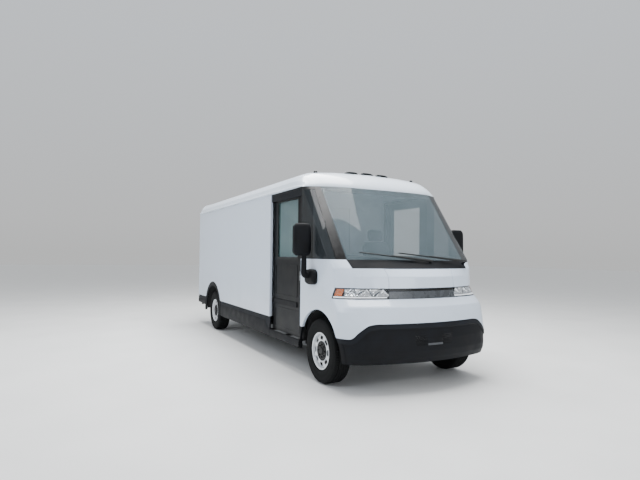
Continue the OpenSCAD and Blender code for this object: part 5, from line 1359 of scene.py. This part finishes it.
t = np.linspace(0, 2 * np.pi, 128, endpoint=False)[:, None]
q = np.linspace(0, 2 * np.pi, 28, endpoint=False)[None, :]
ring = 0.185 + 0.0148 * np.cos(q)
grip = at_column(np.stack([ring * np.cos(t), ring * np.sin(t), 0.0148 * np.sin(q) * np.ones_like(t)], -1))
wheel_leather = finish("black_grained_leather", "#131415", "#1f2021", 40, 1.6, 0.25, (0.45, 0.65))
make_mesh("steering_rim", grip, grid_faces(128, 28, True, True), wheel_leather, "steering_wheel",
          ["steering_wheel"], slot="dash_grey")
hub_rings = []
for level, grow in ((-0.022, 0.7), (-0.02, 0.88), (-0.012, 1.0), (0.006, 1.0), (0.016, 0.8), (0.017, 0.6)):
    loop = pillow(0.057 * grow, 0.057 * grow, 2.6, 48)
    hub_rings.append(at_column(np.column_stack([loop, np.full(48, level)])))
loft("steering_hub", hub_rings, dash_grey, "steering_wheel", slot="dash_grey")
for k in range(3):
    turn = math.radians(90 + 120 * k)
    spoke = []
    for r, wide in ((0.045, 0.02), (0.09, 0.016), (0.14, 0.014), (0.178, 0.018)):
        loop = pillow(wide, 0.0055, 3, 24)
        a = r * math.cos(turn) - loop[:, 0] * math.sin(turn)
        b = r * math.sin(turn) + loop[:, 0] * math.cos(turn)
        spoke.append(at_column(np.column_stack([a, b, loop[:, 1]])))
    loft(f"steering_spoke_{k}", spoke, dash_grey, "steering_wheel", slot="dash_grey")
cylinder("steering_column", at_column(np.array((0, 0, 0.02))), at_column(np.array((0, 0, 0.218))), 0.031, dash_grey,
         "truck", 48, slot="dash_grey")
pedal_at = (axle_x + 0.12, 0.93)
cylinder("pedal_rod", (pedal_at[0], 0.26, pedal_at[1]), (pedal_at[0], 0.48, pedal_at[1]), 0.007, pedal_steel, "truck",
         slot="pedal_steel")
for y in (0.26, 0.472):
    box(f"pedal_ear_{round(y * 1000)}", (pedal_at[0] - 0.014, pedal_at[0] + 0.014), (y, y + 0.008), (0.916, 0.962),
        frame_black, slot="frame_black")

seat_fabric, tree, shader, place = new_material("woven_charcoal_seat_cloth", {"Sheen Weight": 0.25})
weave = add(tree, "ShaderNodeTexVoronoi", {"Vector": place, "Scale": 420.0}).outputs["Distance"]
cloud = noise(tree, place, 120, 4.0)
tree.links.new(ramp(tree, cloud, [(0.35, "#222427"), (0.7, "#303338")]), shader.inputs["Base Color"])
tree.links.new(remap(tree, weave, 0.0, 0.8, 0.75, 0.95), shader.inputs["Roughness"])
bump(tree, shader, weave, 0.5, 0.8)


def padded_block(name, lo, hi, turn, centre, body, replaces=(), seams=4):
    """Upholstered pad: a rounded block whose faces swell between stitched channels. turn leans it about y."""
    n, m = 97, 65
    lo, hi = np.array(lo, float), np.array(hi, float)
    mid, size = (lo + hi) / 2, (hi - lo) / 2
    v = np.linspace(-np.pi / 2, np.pi / 2, m)[:, None]
    w = np.linspace(-np.pi, np.pi, n - 1, endpoint=False)[None, :]
    f = lambda x, p: np.sign(x) * np.abs(x) ** p
    e = 0.28
    x = f(np.cos(v), e) * f(np.cos(w), e)
    y = f(np.cos(v), e) * f(np.sin(w), e)
    z = f(np.sin(v), e) * np.ones_like(w)
    channel = np.abs(np.cos(np.pi * seams / 2 * (y + 1))) ** 0.5
    lift = 0.93 + 0.07 * channel
    points = np.stack([mid[0] + size[0] * x * np.where(size[0] == size.min(), lift, 1),
                       mid[1] + size[1] * y, mid[2] + size[2] * z * np.where(size[2] == size.min(), lift, 1)], -1)
    if turn:
        c, q = math.cos(turn), math.sin(turn)
        p = points - centre
        points = np.stack([p[..., 0] * c + p[..., 2] * q, p[..., 1], -p[..., 0] * q + p[..., 2] * c], -1) + centre
    made = make_mesh(name, points, grid_faces(m, n - 1, False, True), seat_fabric, body, replaces, 70, "seat_fabric")
    return made


seat_x, seat_y, seat_z = 1.575, 0.45, 1.11
padded_block("seat_cushion_pad", (1.6, seat_y - 0.235, 0.992), (2.045, seat_y + 0.235, 1.1), 0, None, "seat_base",
             ["seat_cushion"])
box("seat_pan", (1.6, 2.02), (seat_y - 0.225, seat_y + 0.225), (0.9556, 0.994), frame_black, "seat_base", 0.004, 0.02,
    slot="frame_black")
lean = math.radians(-8)
hinge = np.array([seat_x, seat_y, seat_z])
padded_block("seat_back_pad", (seat_x - 0.072, seat_y - 0.222, seat_z - 0.01),
             (seat_x + 0.022, seat_y + 0.222, seat_z + 0.64),
             lean, hinge, "seat_back", ["seat_back"])
padded_block("head_restraint", (seat_x - 0.06, seat_y - 0.12, seat_z + 0.655),
             (seat_x + 0.015, seat_y + 0.12, seat_z + 0.83),
             lean, hinge, "seat_back", seams=2)
for s in (1, -1):
    c, q = math.cos(lean), math.sin(lean)
    ends = [np.array([seat_x - 0.0185 * c + z * q, seat_y + s * 0.067, seat_z + 0.0185 * q + z * c])
            for z in (0.62, 0.67)]
    cylinder(f"head_restraint_post_{side_word(s)}", ends[0], ends[1], 0.006, latch_steel, "seat_back", slot="latch_steel")
    box(f"seat_hinge_{side_word(s)}", (seat_x - 0.02, seat_x + 0.065),
        sorted((seat_y + s * 0.238, seat_y + s * 0.252)),
        (0.96, 1.13), frame_black, "seat_base", 0.003, 0.004, slot="frame_black")
    box(f"seat_hinge_foot_{side_word(s)}", (seat_x + 0.025, seat_x + 0.065),
        sorted((seat_y + s * 0.225, seat_y + s * 0.24)),
        (0.96, 0.985), frame_black, "seat_base", 0.002, slot="frame_black")
    cylinder(f"seat_hinge_pin_{side_word(s)}", (seat_x, seat_y + s * 0.206, seat_z),
             (seat_x, seat_y + s * 0.24, seat_z),
             0.008, latch_steel, "seat_base", slot="latch_steel")
    cylinder(f"jump_seat_pin_{side_word(s)}", (0.978, -0.66 + s * 0.2, 1.04), (0.978, -0.66 + s * 0.222, 1.04), 0.008,
             latch_steel, "jump_seat", slot="latch_steel")
padded_block("jump_seat_pad", (0.962, -0.86, 1.03), (1.01, -0.46, 1.42), 0, None, "jump_seat", ["jump_seat"], seams=2)


# ---- Floor, light and camera ----
# Plain pale floor with faint mottling, soft studio light from above and beside, and a camera at the photo's angle.
floor_pale, tree, shader, place = new_material("pale_studio_floor", {"IOR": 1.4})
mottle = noise(tree, place, 900, 5.0)
tree.links.new(ramp(tree, mottle, [(0.3, "#d9dad9"), (0.7, "#dedfde")]), shader.inputs["Base Color"])
tree.links.new(remap(tree, mottle, 0.3, 0.7, 0.5, 0.62), shader.inputs["Roughness"])
floor_half = 60
floor_mesh = bpy.data.meshes.new("studio_floor")
floor_mesh.from_pydata([(-floor_half, -floor_half, 0), (floor_half, -floor_half, 0), (floor_half, floor_half, 0),
                        (-floor_half, floor_half, 0)],
                       [], [(0, 1, 2, 3)])
floor_mesh.materials.append(floor_pale)
studio_floor = bpy.data.objects.new("studio_floor", floor_mesh)
bpy.context.scene.collection.objects.link(studio_floor)

world = bpy.data.worlds.new("soft_studio")
bpy.context.scene.world = world
world.use_nodes = True
sky = world.node_tree
sky_place = add(sky, "ShaderNodeTexCoord").outputs["Generated"]
height = add(sky, "ShaderNodeSeparateXYZ", {"Vector": sky_place}).outputs["Z"]
sky.nodes["Background"].inputs["Strength"].default_value = 0.95
sky.links.new(ramp(sky, height, [(0.0, "#d4d5d5"), (0.06, "#dadbdc"), (0.4, "#e6ebf1"), (1.0, "#ffffff")]),
              sky.nodes["Background"].inputs["Color"])


def area_light(name, place, aim, size, power, colour):
    """Soft rectangular lamp at a place, facing a point."""
    lamp = bpy.data.lights.new(name, "AREA")
    lamp.shape = "RECTANGLE"
    lamp.size, lamp.size_y = size
    lamp.energy = power
    lamp.color = linear(colour)[:3]
    made = bpy.data.objects.new(name, lamp)
    bpy.context.scene.collection.objects.link(made)
    back = np.array(place, float) - np.array(aim, float)
    back /= np.linalg.norm(back)
    side = np.cross((0, 0, 1), back)
    side /= np.linalg.norm(side)
    rows = np.eye(4)
    rows[:3, 0], rows[:3, 1], rows[:3, 2], rows[:3, 3] = side, np.cross(back, side), back, place
    made.matrix_world = Matrix(rows.tolist())
    return made


area_light("key_panel", (3, -10, 7.5), (0.5, 0, 1.2), (8, 5), 430, "#eef4ff")
area_light("front_panel", (12, 1.5, 2.4), (2.5, 0, 1.1), (6, 2.5), 200, "#f4f8ff")
area_light("ceiling_panel", (0, 0, 8), (0, 0.01, 0), (9, 5), 1900, "#ffffff")

yaw, pitch, roll = 1.0917, -0.0251, 0.0122
forward = np.array([-math.sin(yaw) * math.cos(pitch), math.cos(yaw) * math.cos(pitch), -math.sin(pitch)])
right = np.array([math.cos(yaw), math.sin(yaw), 0.0])
up = np.cross(right, forward)
view = np.eye(4)
view[:3, 0] = math.cos(roll) * right + math.sin(roll) * up
view[:3, 1] = -math.sin(roll) * right + math.cos(roll) * up
view[:3, 2] = -forward
view[:3, 3] = (7.7228, -3.7414, 1.5266)
lens = bpy.data.cameras.new("photo_camera")
lens.sensor_width = 36
lens.lens = 27.51
lens.shift_x, lens.shift_y = -0.0014, 0.0049
camera = bpy.data.objects.new("photo_camera", lens)
bpy.context.scene.collection.objects.link(camera)
camera.matrix_world = Matrix(view.tolist())
bpy.context.scene.camera = camera
